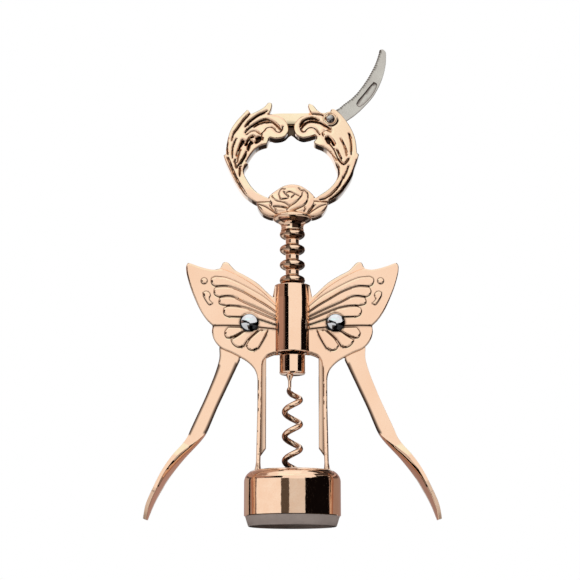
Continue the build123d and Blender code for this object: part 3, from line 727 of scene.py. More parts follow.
def wing_relief(points, gap):
    """The forewing lies over the hindwing, and the cells between the veins stand proud as low pillows."""
    fore, _ = reach(points, forewing)
    height = np.where(within(points, forewing), FOREWING_RISE * shoulder(fore, 0.4), 0)
    # Painted shade: dark outlines and marks, a shadow strip below each cell, dark veins near the barrel
    dark = fading(fore, 0.3) * (points[:, 1] < WAIST_TOP)
    for cell, rise, shift in wing_cells:
        inside = within(points, cell)
        away, _ = reach(points, cell)
        height += np.where(inside, rise * shoulder(away, 0.5), -VEIN_DEPTH * fading(away, 0.2))
        dark = np.maximum(dark, np.where(inside, 0.4, 0.7) * fading(away, 0.12))
        below = within(points + shift, cell) & ~inside
        dark = np.maximum(dark, np.where(below, 0.95, 0))
    near_barrel = np.clip((points[:, 0] + 24) / 9, 0, 1)
    for vein in cell_lines[1:]:
        away, _ = reach(points, flow(vein), closed=False)
        dark = np.maximum(dark, 0.9 * near_barrel * fading(away, 0.2))
    for mark in (wing_dot, comma):
        away, _ = reach(points, mark)
        height += np.where(within(points, mark), MARK_RISE * shoulder(away, 0.6), 0)
        dark = np.maximum(dark, 0.8 * fading(away, 0.14))
    height -= 0.3 * (1 - shoulder(gap, 0.9))
    # A painted shadow rings the rivet
    from_rivet = np.hypot(points[:, 0] + PIVOT_X, points[:, 1] - PIVOT_Z)
    return np.minimum(height, WING_RISE), np.maximum(dark, 0.9 * fading(from_rivet - RIVET_RING, 0.3))


rivet_hole = circle((-PIVOT_X, PIVOT_Z), RIVET_HOLE)
under_barrel = straight((-7.0, 64.7), (-5.5, 64.75))
wing_rim = chain(
    straight((-5.5, 90.7), (-6.6, 90.7)), flow([(-6.6, 90.7), (-7.1, 88.4), (-7.5, 86.2)]),
    flow([(-7.5, 86.2), *horn]), flow(crest), flow(wing_side), flow(hind_side),
    straight(leg_side[0], leg_side[1]), straight(leg_side[1], leg_side[2]),
    straight(leg_side[2], arch[0], 0.4), straight(arch[0], arch[1]), straight(arch[1], arch[2]),
    flow(arch[2:]), under_barrel,
)
ridges = [flow(costal), flow(waist), looped(wing_dot), looped(comma)]
ridges += [looped(cell) for cell in forewing_cells + hindwing_cells]
wing_left = carved("wing_left", wing_rim, [rivet_hole], PLATE_FRONT, PLATE_BACK, wing_relief, ridges,
                   step=0.55, edge=0.35, back_edge=0.2)
wing_right = twin(wing_left, "wing_right")

# The left wing's painted shade on its upper cells is lighter near the barrel
wing_x, _, wing_z = places_of(wing_left).T
by_barrel = (wing_x > -24.2 + 0.65 * (89.6 - wing_z)) & (wing_z > 77.5)
paint_shade(wing_left, shade_so_far(wing_left) * np.where(by_barrel, 0.5, 1))

# Rear lugs and their web, legs with a rib set back inside the flange
lug_turns = [radians(a) for a in range(95, 231, 6)]
rear_rim = chain(
    straight((-5.5, 83.5), (-PIVOT_X, 82.5)),
    [(-PIVOT_X + LUG_RADIUS * cos(a), PIVOT_Z + LUG_RADIUS * sin(a)) for a in lug_turns],
    flow([(-20.3, 71.6), (-15.6, 63.5), (-13.1, 56.0), (-13.1, 54.0)]),
    straight((-13.1, 54.0), (-11.5, 54.0), 0.4), flow(arch[2:]), under_barrel,
)
rear_left = carved("rear_lug_left", rear_rim, [rivet_hole], REAR_FRONT, REAR_BACK, edge=0.25, back_edge=0.4)
rear_right = twin(rear_left, "rear_lug_right")
leg_rim = chain(
    straight((-13.1, 60.0), (-13.1, 45.0)), straight((-13.1, 45.0), (-13.5, 24.0)),
    flow([(-13.5, 24.0), (-13.9, 21.6), (-14.6, 19.6)]), straight((-14.6, 19.6), (-11.2, 19.6)),
    flow([(-11.2, 19.6), (-11.8, 21.6), (-12.0, 24.0)]), straight((-12.0, 24.0), (-11.5, 45.0)),
    straight((-11.5, 45.0), (-11.5, 60.0)),
)

# Heights along the leg, and where the flange's inner edge lies there
LEG_INNER = ((24.0, 45.0), (-12.0, -11.5))


def leg_relief(points, gap):
    """Painted shade darkens the flange along its inner edge."""
    return 0 * gap, 0.75 * fading(points[:, 0] - np.interp(points[:, 1], *LEG_INNER), 0.22)


def rib_relief(points, gap):
    """The rib gets a light painted shade, darker where it meets the flange."""
    return 0 * gap, 0.22 + 0.6 * np.clip(1 - (points[:, 0] + 11.5) / 0.55, 0, 1)


leg_flange = carved("leg_flange", [(x * 0.9995, z) for x, z in leg_rim], (), PLATE_BACK - 0.4, REAR_BACK,
                    leg_relief, edge=0.25, back_edge=0.4, step=0.6)
rib_rim = [(-12.3, 62.7), (-12.3, 26.2), (-11.9, 26.2), (-9.9, 29.0), (-9.9, 62.6), (-9.5, 63.7)]
leg_rib = carved("leg_rib", rib_rim, (), -1.2, 1.2, rib_relief, edge=0.3, step=0.5)
leg_left = weld("leg_left", leg_flange, leg_rib)
leg_right = twin(leg_left, "leg_right")

# Barrel with a tapered top edge, and the pockets in which the lever gears turn
barrel_wall = [(BARREL_RADIUS, BARREL_BOTTOM + 1.6 * k) for k in range(14)]
barrel = turned(
    "barrel",
    [(BARREL_BORE, BARREL_BOTTOM), *barrel_wall, (BARREL_RADIUS - 0.2, BARREL_TOP), (BARREL_BORE, BARREL_TOP),
     (BARREL_BORE, BARREL_BOTTOM)],
    segments=128, edge=0.35,
)
for side in (-1, 1):
    clear()
    bpy.ops.mesh.primitive_cylinder_add(
        vertices=96, radius=POCKET_RADIUS * MM, depth=POCKET_WIDTH * MM,
        location=(side * PIVOT_X * MM, 0, PIVOT_Z * MM), rotation=(pi / 2, 0, 0),
    )
    cutter = bpy.context.object
    modify(barrel, "BOOLEAN", operation="DIFFERENCE", object=cutter, solver="EXACT")
    bpy.data.objects.remove(cutter)
settle(barrel)

# Bell collar: a round shoulder over a straight wall, hollow from below
collar = turned(
    "bell_collar",
    [(CAVITY_RADIUS, COLLAR_BOTTOM), (COLLAR_RADIUS - 0.25, COLLAR_BOTTOM),
     (COLLAR_RADIUS, COLLAR_BOTTOM + 0.25),
     *arc((13.6, 16.4), 4.4, 0, 90, 32), (CORK_HOLE + 0.4, COLLAR_TOP), (CORK_HOLE, COLLAR_TOP - 0.4),
     (CORK_HOLE, CAVITY_TOP), (CAVITY_RADIUS, CAVITY_TOP), (CAVITY_RADIUS, COLLAR_BOTTOM)],
    segments=160,
)
for piece in (wing_left, wing_right, rear_left, rear_right, leg_left, leg_right, barrel, collar):
    finish(piece, collar_gold if piece is collar else rose_gold, "rose_gold", "frame", "frame_casting")

# ---------------------------------------------------------------- bell insert
# The solid's own mesh has all of its shape, so it only gets its finish
insert_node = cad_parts["bell_insert"]
insert_node.data.materials.clear()
insert_node.data.materials.append(plastic())

# ---------------------------------------------------------------- rivets
RIVET_LIP = 0.12
DOME_ROWS = 27
POLE_RADIUS = 0.05


def dome(radius, rise, base, sign):
    """Stations of a domed head on a short straight lip."""
    rows = [(radius, base), (radius, base + sign * RIVET_LIP)]
    for k in range(1, DOME_ROWS):
        r = radius * cos(pi / 2 * k / DOME_ROWS)
        rows.append((r, base + sign * (RIVET_LIP + (rise - RIVET_LIP) * (1 - (r / radius) ** 2))))
    return [*rows, (POLE_RADIUS, base + sign * rise)]


def rivet_painted_shade(piece, radius, material):
    """Painted shade: a dark line round the head. Chrome domes also get a painted dark reflection in a
    streak and a lower corner, and the blade's rivet is painted dark on its lower right side. The rivet
    stands upright here, so that its y becomes z."""
    x, y, _ = places_of(piece).T
    u, w = x / radius, y / radius
    shade = np.clip((np.hypot(u, w) - 0.82) * radius / 0.12, 0, 1)
    if material is chrome:
        streak = (np.abs(w + 0.14 + 0.42 * u) < 0.1) & (u > -0.75) & (u < 0.05)
        corner = (u > 0) & (w < -0.2 + 0.2 * u)
        extra = 0.97 * (streak | corner)
    else:
        extra = np.minimum(0.85, 0.45 + 0.35 * (x - y))
    paint_shade(piece, np.maximum(shade, extra))


def rivet(name, centre, front, rear, shank, material, body, *nodes):
    """A rivet with a domed head at both ends. A head is the y of its flat side, its radius and its rise."""
    (front_y, radius, rise), (rear_y, tail, tail_rise) = front, rear
    top, bottom = (shank, -front_y), (shank, -rear_y)
    head = turned(name + "_head", [top, *dome(radius, rise, -front_y, 1)], segments=64, end="pole")
    shaft = turned(name + "_shank", [bottom, top], segments=48, start="cap")
    foot = turned(name + "_tail", [bottom, *dome(tail, tail_rise, -rear_y, -1)], segments=64, end="pole")
    whole = weld(name, head, shaft, foot)
    rivet_painted_shade(whole, radius, material)
    laid_down(whole, *centre)
    finish(whole, material, "chrome", body, *nodes)


for side, sign in (("left", -1), ("right", 1)):
    rivet(f"pivot_rivet_head_{side}", (sign * PIVOT_X, PIVOT_Z), (WING_FRONT, 3.6, 1.5),
          (REAR_BACK, 3.2, 1.1),
          RIVET_HOLE, chrome, "frame", f"pivot_rivet_{side}", f"rivet_pin_{side}")
rivet("blade_rivet_head", (BLADE_X, BLADE_Z), (-4.0, 1.75, 1.1), (HANDLE_REAR, 1.6, 0.8), 1.15, dark_steel,
      "handle", "blade_rivet")

# ---------------------------------------------------------------- levers
def gear_at(radius, angle):
    return (-PIVOT_X + radius * cos(angle), PIVOT_Z + radius * sin(angle))


def off_pivot(x, z):
    return (x - PIVOT_X, z + PIVOT_Z)


# Radius and half the tooth's angle there, from its root to its tip
TOOTH_SIDE = [(GEAR_ROOT, 0.152), (11.7, 0.136), (GEAR_PITCH, 0.111), (13.0, 0.083), (GEAR_TIP, 0.052)]
teeth = []
for index in range(-2, 5):
    middle = (-1.1 + (index + 0.5) * RING_PITCH) / GEAR_PITCH
    teeth += [gear_at(radius, middle - half) for radius, half in TOOTH_SIDE]
    teeth += [gear_at(radius, middle + half) for radius, half in reversed(TOOTH_SIDE)]
sector_rim = chain(
    [off_pivot(-11.3, -9.4), off_pivot(-4.2, -9.6), off_pivot(-3.4, -12.9), gear_at(GEAR_ROOT, radians(-60))],
    teeth, [gear_at(GEAR_ROOT, radians(a)) for a in (122, 128, 135)],
)
lever_eye = circle((-PIVOT_X, PIVOT_Z), LEVER_BORE, 40)
sector = carved("lever_sector", sector_rim, [lever_eye], -LEVER_HALF, LEVER_HALF, edge=0.12)

# Stations down the arm, from the eye: outer point, inner point, half depth, how much of a paddle the section
# is (0 is the flat arm, 1 the dished paddle), and how far its outer face is hollowed
arm_stations = [
    ((-11.3, -9.4), (-4.2, -9.6), 1.8, 0.0, 0.0),
    ((-11.2, -13.0), (-3.4, -12.9), 1.8, 0.0, 0.0),
    ((-11.9, -16.3), (-4.8, -16.4), 1.8, 0.0, 0.0),
    ((-13.2, -20.3), (-6.4, -19.9), 1.8, 0.0, 0.0),
    ((-14.8, -24.4), (-8.8, -25.1), 1.8, 0.0, 0.0),
    ((-16.6, -28.8), (-11.7, -31.4), 1.8, 0.0, 0.0),
    ((-19.3, -34.8), (-13.9, -36.7), 1.8, 0.0, 0.0),
    ((-21.8, -40.4), (-15.9, -41.6), 1.85, 0.05, 0.0),
    ((-23.0, -43.3), (-17.9, -44.5), 2.1, 0.25, 0.1),
    ((-25.0, -46.2), (-20.6, -47.5), 2.8, 0.6, 0.5),
    ((-27.6, -49.2), (-23.5, -50.6), 3.9, 0.85, 1.0),
    ((-30.0, -52.5), (-26.4, -54.1), 4.8, 0.95, 1.5),
    ((-31.8, -55.4), (-28.8, -57.3), 5.3, 1.0, 1.8),
    ((-33.4, -58.4), (-30.6, -59.9), 5.5, 1.0, 1.9),
    ((-35.0, -61.8), (-32.4, -63.1), 5.5, 1.0, 1.7),
    ((-36.5, -65.0), (-34.0, -66.0), 5.2, 1.0, 1.4),
    ((-37.8, -68.2), (-35.5, -69.2), 4.6, 1.0, 1.0),
    ((-38.5, -71.2), (-36.6, -72.0), 3.7, 1.0, 0.6),
    ((-38.9, -73.4), (-37.3, -73.9), 2.5, 1.0, 0.3),
]


def arm_section(outer, inner, half, dish, hollow, count=10):
    """Points round one section, from the outer front corner along the front, inside, back and outside."""
    width = hypot(inner[0] - outer[0], inner[1] - outer[1])
    rim = width + (min(1.3, width * 0.6) - width) * dish
    bulge = width - rim
    across = [-1 + k / count for k in range(count * 2)]
    ring = [(rim * k / count, -half) for k in range(count)]
    ring += [(rim + bulge * (1 - v * v) ** 0.8, half * v) for v in across]
    ring += [(rim * (1 - k / count), half) for k in range(count)]
    ring += [(hollow * (1 - v * v), half * -v) for v in across]
    ux, uz = (inner[0] - outer[0]) / width, (inner[1] - outer[1]) / width
    return [(outer[0] + u * ux, v, outer[1] + u * uz) for u, v in ring]


def eased(stations, per_span=4):
    """More stations between the given ones, along smooth lines."""
    table = np.array([(*outer, *inner, *rest) for outer, inner, *rest in stations])
    table = np.vstack([2 * table[0] - table[1], table, 2 * table[-1] - table[-2]])
    rows = []
    for a, b, c, d in zip(table, table[1:], table[2:], table[3:]):
        for k in range(per_span):
            t = k / per_span
            rows.append(0.5 * (2 * b + (c - a) * t + (2 * a - 5 * b + 4 * c - d) * t * t
                               + (3 * b - a - 3 * c + d) * t**3))
    rows.append(table[-2])
    return [((r[0], r[1]), (r[2], r[3]), r[4], min(max(r[5], 0), 1), max(r[6], 0)) for r in rows]


sections = [
    arm_section(off_pivot(*outer), off_pivot(*inner), half, dish, hollow)
    for outer, inner, half, dish, hollow in eased(arm_stations)
]
size = len(sections[0])
verts = [p for ring in sections for p in ring]
polys = []
for s in range(len(sections) - 1):
    for k in range(size):
        a, b = s * size + k, s * size + (k + 1) % size
        polys.append((a, b, b + size, a + size))
polys.append(tuple(range(size)))
polys.append(tuple(reversed(range(len(verts) - size, len(verts)))))
arm = place("lever_arm", verts, polys)
settle(arm)
modify(arm, "BEVEL", width=0.5 * MM, segments=4, limit_method="ANGLE", angle_limit=radians(40))
settle(arm, 40)
shade_undersides(arm, 0.6)
lever_piece_left = weld("wing_lever_left", sector, arm)
lever_piece_right = twin(lever_piece_left, "wing_lever_right")
ARM_BOTTOM = 34.0
ARM_TOP = 75.0
OUTLINE_WIDTH = 0.7
OUTLINE_CORE = 0.2


def outline_shade(piece, outer, inner):
    """Painted shade: dark lines along the outer and inner edge of the arm's flat front, between the paddle
    and the eye.
    """
    places = places_of(piece)
    normals = np.array([v.normal for v in piece.data.vertices])
    side = np.sign(places[:, 0].mean())
    arm_part = (places[:, 2] > ARM_BOTTOM) & (places[:, 2] < ARM_TOP)
    values = shade_so_far(piece)
    for sign, amount in ((side, outer), (-side, inner)):
        edge = places[arm_part & (normals[:, 0] * sign > 0.5)]
        for index in np.nonzero(arm_part & (places[:, 1] < 0))[0]:
            gap = np.hypot(edge[:, 0] - places[index, 0], edge[:, 2] - places[index, 2]).min()
            if gap < OUTLINE_WIDTH:
                values[index] = max(values[index], amount * (1.0 if gap < OUTLINE_CORE else 0.8))
    paint_shade(piece, values)


outline_shade(lever_piece_left, 1.0, 1.0)
outline_shade(lever_piece_right, 0.0, 1.0)
finish(lever_piece_left, rose_gold, "rose_gold", "lever_left", "lever_left")
finish(lever_piece_right, rose_gold, "rose_gold", "lever_right", "lever_right")

# ---------------------------------------------------------------- ring rack and drive shaft
# One side of a ring: radius and distance from its middle height
ring_side = flow([(RING_ROOT, 2.3), (2.64, 2.14), (2.95, 1.95), (3.5, 1.7), (4.1, 1.34), (4.56, 0.92),
                  (4.82, 0.48),
                  (RING_RADIUS, 0.04)], 0.22)
rack_stations = [(RACK_BORE, RACK_BOTTOM), (RING_ROOT, RACK_BOTTOM)]
for height in RING_HEIGHTS:
    rack_stations += [(r, height - d) for r, d in ring_side]
    rack_stations += [(r, height + d) for r, d in reversed(ring_side)]
rack_stations += [(RING_ROOT, RACK_TOP), (RACK_BORE, RACK_TOP), (RACK_BORE, RACK_BOTTOM)]
rack_piece = turned("rack_rings", rack_stations, segments=96)
settle(rack_piece, 32)


# Bearings between which the rings' fronts are left without painted shade, and to which their painted dark
# corners reach
RING_FRONT = (-5, 28)
RING_CORNERS = (-33, 64)


def ring_shade(radius, drop, around):
    """Painted shade and reflection on a ring, at a height over its middle and a bearing: a dark underside,
    with a pale streak left unpainted on the left, and two dark corners on its upper side that widen
    downwards."""
    on_front = RING_FRONT[0] < around < RING_FRONT[1]
    if -2.0 < drop < (-0.6 if on_front else -0.2) and radius > RING_ROOT + 0.1:
        pale = -1.4 < drop < -0.9 and -65 < around < -12
        return 0.95 if around > -12 else 0.0 if pale else 0.62
    left, right = RING_FRONT[0] - 5.4 * (drop + 0.5), RING_FRONT[1] + 7.5 * (drop + 0.5)
    corner = RING_CORNERS[0] < around < left or right < around < RING_CORNERS[1]
    return 0.92 if -0.2 < drop < 1.9 and corner else 0


ring_painted_shade = []
for x, y, z in places_of(rack_piece):
    drop = min((z - height for height in RING_HEIGHTS), key=abs)
    ring_painted_shade.append(ring_shade(hypot(x, y), drop, degrees(atan2(x, -y))))
paint_shade(rack_piece, ring_painted_shade)
finish(rack_piece, rose_gold, "rose_gold", "rack", "ring_rack")

plug = turned(
    "shaft_plug",
    [(3.9, 56.82), (4.5, 56.97), (4.78, 57.25), (4.9, 57.65), (4.9, 64.0), (4.7, 64.3), (2.7, 65.25),
     (1.5, 65.3), (1.5, 124.5)],
    start="cap",
)
finish(plug, rose_gold, "rose_gold", "handle", "drive_shaft")

# ---------------------------------------------------------------- worm
TURN_ROWS = 120
COIL_END = 390
BEND_ROWS = 18
BEND_TURN = 0.2
BEND_RISE = 2.6
TAPER_TURNS = 0.335
POINT_RADIUS = 0.14
POINT_GROWTH = 0.96
SHANK = (-1.0, -0.5)
wire = []
for k in range(-40, COIL_END + 1):
    turn = k / TURN_ROWS
    share = min(1.0, max(0.0, (turn + TAPER_TURNS) / TAPER_TURNS))
    x, y = WORM_RADIUS * cos(2 * pi * turn), WORM_RADIUS * sin(2 * pi * turn)
    wire.append((x, y, WORM_FOOT + turn * WORM_PITCH, POINT_RADIUS + POINT_GROWTH * sqrt(share)))
top_z = wire[-1][2]
for k in range(1, BEND_ROWS + 1):
    t = k / BEND_ROWS
    ease = t * t * (3 - 2 * t)
    angle = 2 * pi * (COIL_END / TURN_ROWS + BEND_TURN * t)
    x = WORM_RADIUS * cos(angle) * (1 - ease) + SHANK[0] * ease
    y = WORM_RADIUS * sin(angle) * (1 - ease) + SHANK[1] * ease
    wire.append((x, y, top_z + BEND_RISE * t, WIRE_RADIUS - 0.5 * ease))

# The shank rises beside the axis and thickens into the plug
wire += [(*SHANK, z, radius) for z, radius in ((54.3, 0.62), (55.2, 0.85), (56.0, 1.25), (56.6, 1.4),
                                               (62.0, 1.3))]
line = bpy.data.curves.new("worm_wire", "CURVE")
line.dimensions = "3D"
line.bevel_depth = MM
line.bevel_resolution = 8
line.use_fill_caps = True
spline = line.splines.new("POLY")
spline.points.add(len(wire) - 1)
for point, (x, y, z, radius) in zip(spline.points, wire):
    point.co = (x * MM, y * MM, z * MM, 1)
    point.radius = radius
worm_piece = bpy.data.objects.new("worm_wire", line)
bpy.context.scene.collection.objects.link(worm_piece)
pick(worm_piece)
bpy.ops.object.convert(target="MESH")
settle(worm_piece, 40)

# Painted shade: in front of the axis only what faces the front stays bright. Behind it the coils are
# painted dim, and darker below
worm_painted_shade = []
for vertex in worm_piece.data.vertices:
    rear_half = vertex.co.y / MM - WIRE_RADIUS * vertex.normal.y > 0.3
    rear_shade = 0.25 + 0.5 * (vertex.normal.z < -0.2)
    worm_painted_shade.append(rear_shade if rear_half else 0.85 * (vertex.normal.y > -0.42))
paint_shade(worm_piece, worm_painted_shade)
finish(worm_piece, collar_gold, "rose_gold", "handle", "worm")

# ---------------------------------------------------------------- handle
# Runs of the scrolls' outline as (x, z), from the foot upwards and back down inside the ring, on either side
spur_left = [(-13.7, 123.1), (-16.0, 124.5), (-19.0, 127.0), (-21.9, 131.3), (-24.3, 136.2), (-26.0, 140.1),
             (-26.6, 142.0)]
ring_left = [(-25.7, 142.5), (-25.6, 145.1), (-25.0, 148.7), (-23.9, 152.1), (-21.8, 155.5), (-19.1, 158.6),
             (-17.4, 160.5)]
leaf_left = [(-15.9, 158.6), (-13.2, 159.9), (-10.8, 161.5), (-9.4, 163.3)]
leaf_left_end = [(-9.4, 163.3), (-8.0, 162.9), (-7.9, 161.4), (-8.8, 158.9)]
scroll_left = [(-8.8, 158.6), (-7.0, 158.4), (-4.6, 157.6), (-2.6, 155.8), (-1.6, 153.4), (-1.5, 151.4),
               (-2.6, 149.6)]
inner_left = [(-2.6, 149.6), (-4.2, 148.9), (-6.7, 148.6), (-8.7, 149.0), (-9.4, 147.5), (-9.8, 146.6),
              (-11.4, 146.1), (-13.0, 145.4), (-14.4, 144.3), (-15.6, 142.8), (-17.0, 140.6), (-17.8, 139.2)]
inner_low_left = [(-17.0, 138.5), (-17.6, 137.8), (-18.4, 136.4), (-18.6, 134.6), (-17.8, 132.8),
                  (-16.0, 129.8), (-13.7, 127.3), (-11.3, 125.8), (-9.4, 125.0)]
spur_right = [(13.6, 123.4), (17.8, 125.8), (20.7, 129.2), (23.1, 133.4), (23.9, 136.4), (25.3, 140.6),
              (25.8, 142.3)]
ring_right = [(25.0, 143.0), (24.5, 148.1), (22.95, 152.4), (20.9, 155.8), (17.3, 159.9), (15.6, 160.6),
              (15.0, 160.3)]
leaf_right = [(14.3, 158.6), (12.6, 158.5), (9.9, 160.0), (8.2, 162.0), (6.4, 162.9)]
leaf_right_end = [(6.4, 162.9), (6.1, 161.7), (6.7, 159.9), (7.6, 158.5)]
scroll_right = [(7.6, 158.4), (4.6, 158.0), (2.3, 156.7), (0.9, 154.6), (0.6, 152.3), (1.3, 150.4),
                (2.8, 149.3)]
inner_right = [(2.8, 149.3), (4.2, 148.9), (6.7, 149.3), (9.0, 149.9), (9.3, 148.4), (8.4, 147.7),
               (8.4, 146.9), (9.6, 146.1), (11.4, 145.4), (13.1, 144.3), (14.9, 142.3), (16.1, 139.8)]
inner_low_right = [(16.6, 138.2), (17.3, 136.4), (17.5, 134.0), (16.3, 131.0), (13.7, 128.2), (10.7, 126.1),
                   (9.2, 125.0)]
SILL_LEFT, SILL_RIGHT = (-9.4, 125.0), (9.2, 125.0)
foot_line = straight((13.6, 123.4), (-13.7, 123.1))
left_runs = (spur_left, ring_left, leaf_left, leaf_left_end, scroll_left, inner_left, inner_low_left)
right_runs = (inner_low_right, inner_right, scroll_right, leaf_right_end, leaf_right, ring_right, spur_right)
front_rim = chain(*[flow(run) for run in left_runs], straight(SILL_LEFT, SILL_RIGHT),
                  *[flow(backwards(run)) for run in right_runs], foot_line)
# Carved lines between the leaves, scrolls and rails: half width, painted shade along it, and path
veins = [
    (0.30, 1.00, [(-18.3, 150.8), (-17.0, 152.4), (-14.3, 154.4), (-12.2, 155.6), (-9.9, 156.2),
                  (-9.0, 156.0)]),
    (0.26, 0.55, [(-9.0, 155.9), (-7.5, 155.2), (-5.7, 153.6), (-4.7, 152.2)]),
    (0.16, 0.70, [(-14.9, 153.2), (-12.2, 154.7), (-10.2, 155.1), (-8.0, 155.2)]),
    (0.17, 0.80, [(-10.7, 151.9), (-10.2, 152.6), (-8.8, 153.2), (-7.5, 152.9), (-6.6, 151.9), (-5.7, 151.2),
                  (-4.7, 151.3), (-3.9, 152.3), (-3.8, 153.2)]),
    (0.16, 0.70, [(-10.7, 151.9), (-11.7, 150.8), (-11.9, 149.3), (-11.5, 148.2)]),
    (0.16, 0.60, [(-17.8, 150.1), (-16.3, 151.3), (-14.5, 151.7), (-13.2, 150.9), (-12.3, 150.2)]),
    (0.34, 1.00, [(-18.3, 153.2), (-16.9, 155.0), (-14.9, 156.7), (-12.9, 158.1), (-11.3, 158.8),
                  (-9.9, 159.6)]),
    (0.24, 1.00, [(-16.4, 158.6), (-18.9, 155.9), (-21.4, 152.3), (-22.6, 150.6), (-23.1, 149.2)]),
    (0.18, 0.50, [(-23.1, 149.2), (-23.5, 147.7)]),
    (0.20, 0.85, [(-21.8, 148.2), (-22.4, 146.8), (-23.0, 144.9), (-23.2, 142.8), (-23.1, 140.8)]),
    (0.16, 0.90, [(-25.0, 148.4), (-25.1, 146.3), (-25.2, 144.4), (-24.9, 142.2)]),
    (0.16, 0.50, [(-19.9, 144.1), (-20.4, 142.8), (-20.9, 141.0), (-21.2, 138.9)]),
    (0.30, 1.00, [(-17.8, 143.2), (-18.2, 141.8), (-18.9, 140.3), (-19.8, 139.0), (-20.8, 137.8)]),
    (0.26, 0.70, [(-21.9, 140.1), (-22.2, 139.2), (-21.8, 137.9), (-21.6, 136.8), (-20.8, 137.8)]),
    (0.24, 1.00, [(-20.2, 137.3), (-20.2, 135.8), (-20.3, 133.6)]),
    (0.15, 0.60, [(-25.1, 140.7), (-24.3, 138.7), (-23.6, 136.8), (-22.6, 134.4), (-21.3, 131.6),
                  (-19.8, 128.9), (-17.9, 125.9), (-14.9, 123.5)]),
    (0.36, 1.00, [(3.0, 153.2), (3.5, 154.6), (4.8, 155.9), (6.4, 156.5), (8.7, 156.5), (10.1, 155.9)]),
    (0.20, 0.85, [(3.9, 153.0), (4.8, 154.3), (6.4, 155.3), (8.7, 155.3), (10.8, 154.9), (12.8, 153.7),
                  (14.8, 152.6)]),
    (0.18, 0.85, [(3.1, 152.6), (3.5, 151.6), (4.5, 151.2), (5.6, 152.3), (6.7, 153.0), (7.9, 153.0),
                  (9.1, 152.2), (9.9, 151.0), (10.6, 150.1)]),
    (0.15, 0.45, [(11.6, 150.8), (12.1, 151.5), (13.2, 151.9), (14.8, 151.3)]),
    (0.22, 0.80, [(11.6, 150.6), (12.0, 149.6)]),
    (0.20, 1.00, [(14.2, 154.1), (15.4, 154.0), (16.6, 154.6), (17.6, 155.9)]),
    (0.20, 0.90, [(21.8, 150.4), (22.5, 148.1), (22.8, 145.2), (22.7, 142.2)]),
    (0.14, 0.50, [(18.6, 148.3), (19.9, 145.6), (20.7, 143.3), (21.0, 141.6)]),
    (0.16, 0.60, [(17.1, 143.9), (18.1, 141.6), (18.8, 140.1)]),
    (0.26, 1.00, [(17.7, 140.5), (18.6, 139.1), (19.9, 138.0)]),
    (0.24, 0.70, [(19.7, 138.0), (20.6, 138.7), (21.9, 140.5)]),
    (0.17, 0.70, [(14.4, 146.4), (15.5, 144.9), (16.6, 142.9), (17.6, 140.1)]),
    (0.13, 0.45, [(11.8, 145.2), (14.0, 143.7), (16.0, 141.4), (17.1, 139.9)]),
    (0.20, 0.80, [(19.5, 133.0), (18.9, 131.3), (17.6, 129.0), (15.2, 126.4), (12.8, 124.7), (10.6, 124.0)]),
    (0.18, 0.70, [(21.7, 137.4), (20.7, 134.7), (19.7, 132.6)]),
    (0.34, 1.00, [(-17.3, 138.4), (-18.0, 137.4), (-18.5, 136.0), (-18.5, 134.6)]),
    (0.26, 0.90, [(16.9, 138.2), (17.6, 136.6), (17.8, 134.6), (17.0, 132.2)]),
    (0.20, 1.00, [(-11.9, 145.8), (-14.2, 144.1), (-15.7, 142.3), (-17.3, 139.9)]),
    (0.14, 0.60, [(-1.9, 155.2), (-2.6, 156.2), (-4.6, 157.6), (-7.0, 158.3), (-9.2, 158.5)]),
    (0.14, 0.60, [(1.2, 155.2), (2.3, 156.7), (4.6, 158.0), (7.6, 158.4), (10.3, 158.2)]),
    (0.14, 0.60, [(12.6, 156.2), (12.2, 157.6), (10.3, 158.2)]),
    (0.40, 1.00, [(24.8, 139.8), (24.1, 136.8), (22.7, 133.3), (20.3, 129.5), (17.6, 126.4), (14.2, 124.0)]),
]
# Pierced-looking hollows between them, filled with painted shade
pits = [
    [(-19.3, 147.9), (-18.6, 147.6), (-18.9, 146.6), (-19.4, 145.9), (-20.1, 144.9), (-20.7, 143.5),
     (-21.2, 142.1), (-21.7, 141.5), (-21.3, 142.9), (-20.6, 145.1), (-19.9, 146.9)],
    [(-15.0, 149.6), (-16.2, 149.2), (-17.2, 147.9), (-18.4, 145.8), (-17.8, 145.8), (-16.8, 147.5),
     (-15.8, 148.9), (-15.0, 149.0)],
    [(-16.2, 147.7), (-15.2, 146.8), (-16.2, 145.9), (-16.6, 144.6), (-17.1, 143.5), (-17.4, 144.5),
     (-16.9, 146.3)],
    [(-14.2, 148.6), (-12.5, 149.3), (-11.9, 148.4), (-14.0, 146.6), (-14.5, 147.0), (-13.8, 147.7)],
    [(12.9, 148.8), (13.9, 149.2), (15.2, 148.1), (16.4, 145.8), (15.9, 145.7), (14.8, 147.5), (14.4, 146.5),
     (14.0, 146.4), (13.3, 147.2)],
]
tongues = [
    [(-18.2, 150.4), (-16.8, 152.2), (-14.2, 154.1), (-12.0, 155.3), (-9.0, 155.7), (-6.3, 154.4),
     (-4.4, 152.4), (-4.8, 151.4), (-5.7, 151.4), (-6.6, 152.1), (-7.5, 153.0), (-8.8, 153.4),
     (-10.3, 152.8), (-11.0, 151.9), (-12.6, 150.6), (-14.5, 151.8), (-16.3, 151.4)],
    [(3.4, 152.6), (4.0, 154.2), (6.4, 155.7), (9.0, 155.7), (11.4, 154.9), (13.8, 153.4), (15.6, 152.0),
     (13.2, 152.1), (11.8, 151.4), (10.6, 150.3), (9.9, 151.2), (9.1, 152.4), (7.9, 153.2), (6.6, 153.2),
     (5.5, 152.5), (4.4, 151.5)],
]
VEIN_STEP = 0.35
TONGUE_STEP = 0.4
PETAL_STEP = 0.3
SCROLL_RISE = 1.95
CUSHION_RISE = 0.8
TONGUE_DROP = 0.55
PIT_SHARE = 0.8
ornament_lines = [flow(path, VEIN_STEP) for _, _, path in veins]
ornament_lines += [flow(pit, VEIN_STEP, closed=True) + pit[:1] for pit in pits]
ornament_lines += [flow(tongue, TONGUE_STEP, closed=True) + tongue[:1] for tongue in tongues]


def dark_line(away, width, strength):
    """A carved line: painted shade over its width and a little beyond."""
    return strength * np.clip(1.4 - away / width, 0, 1)


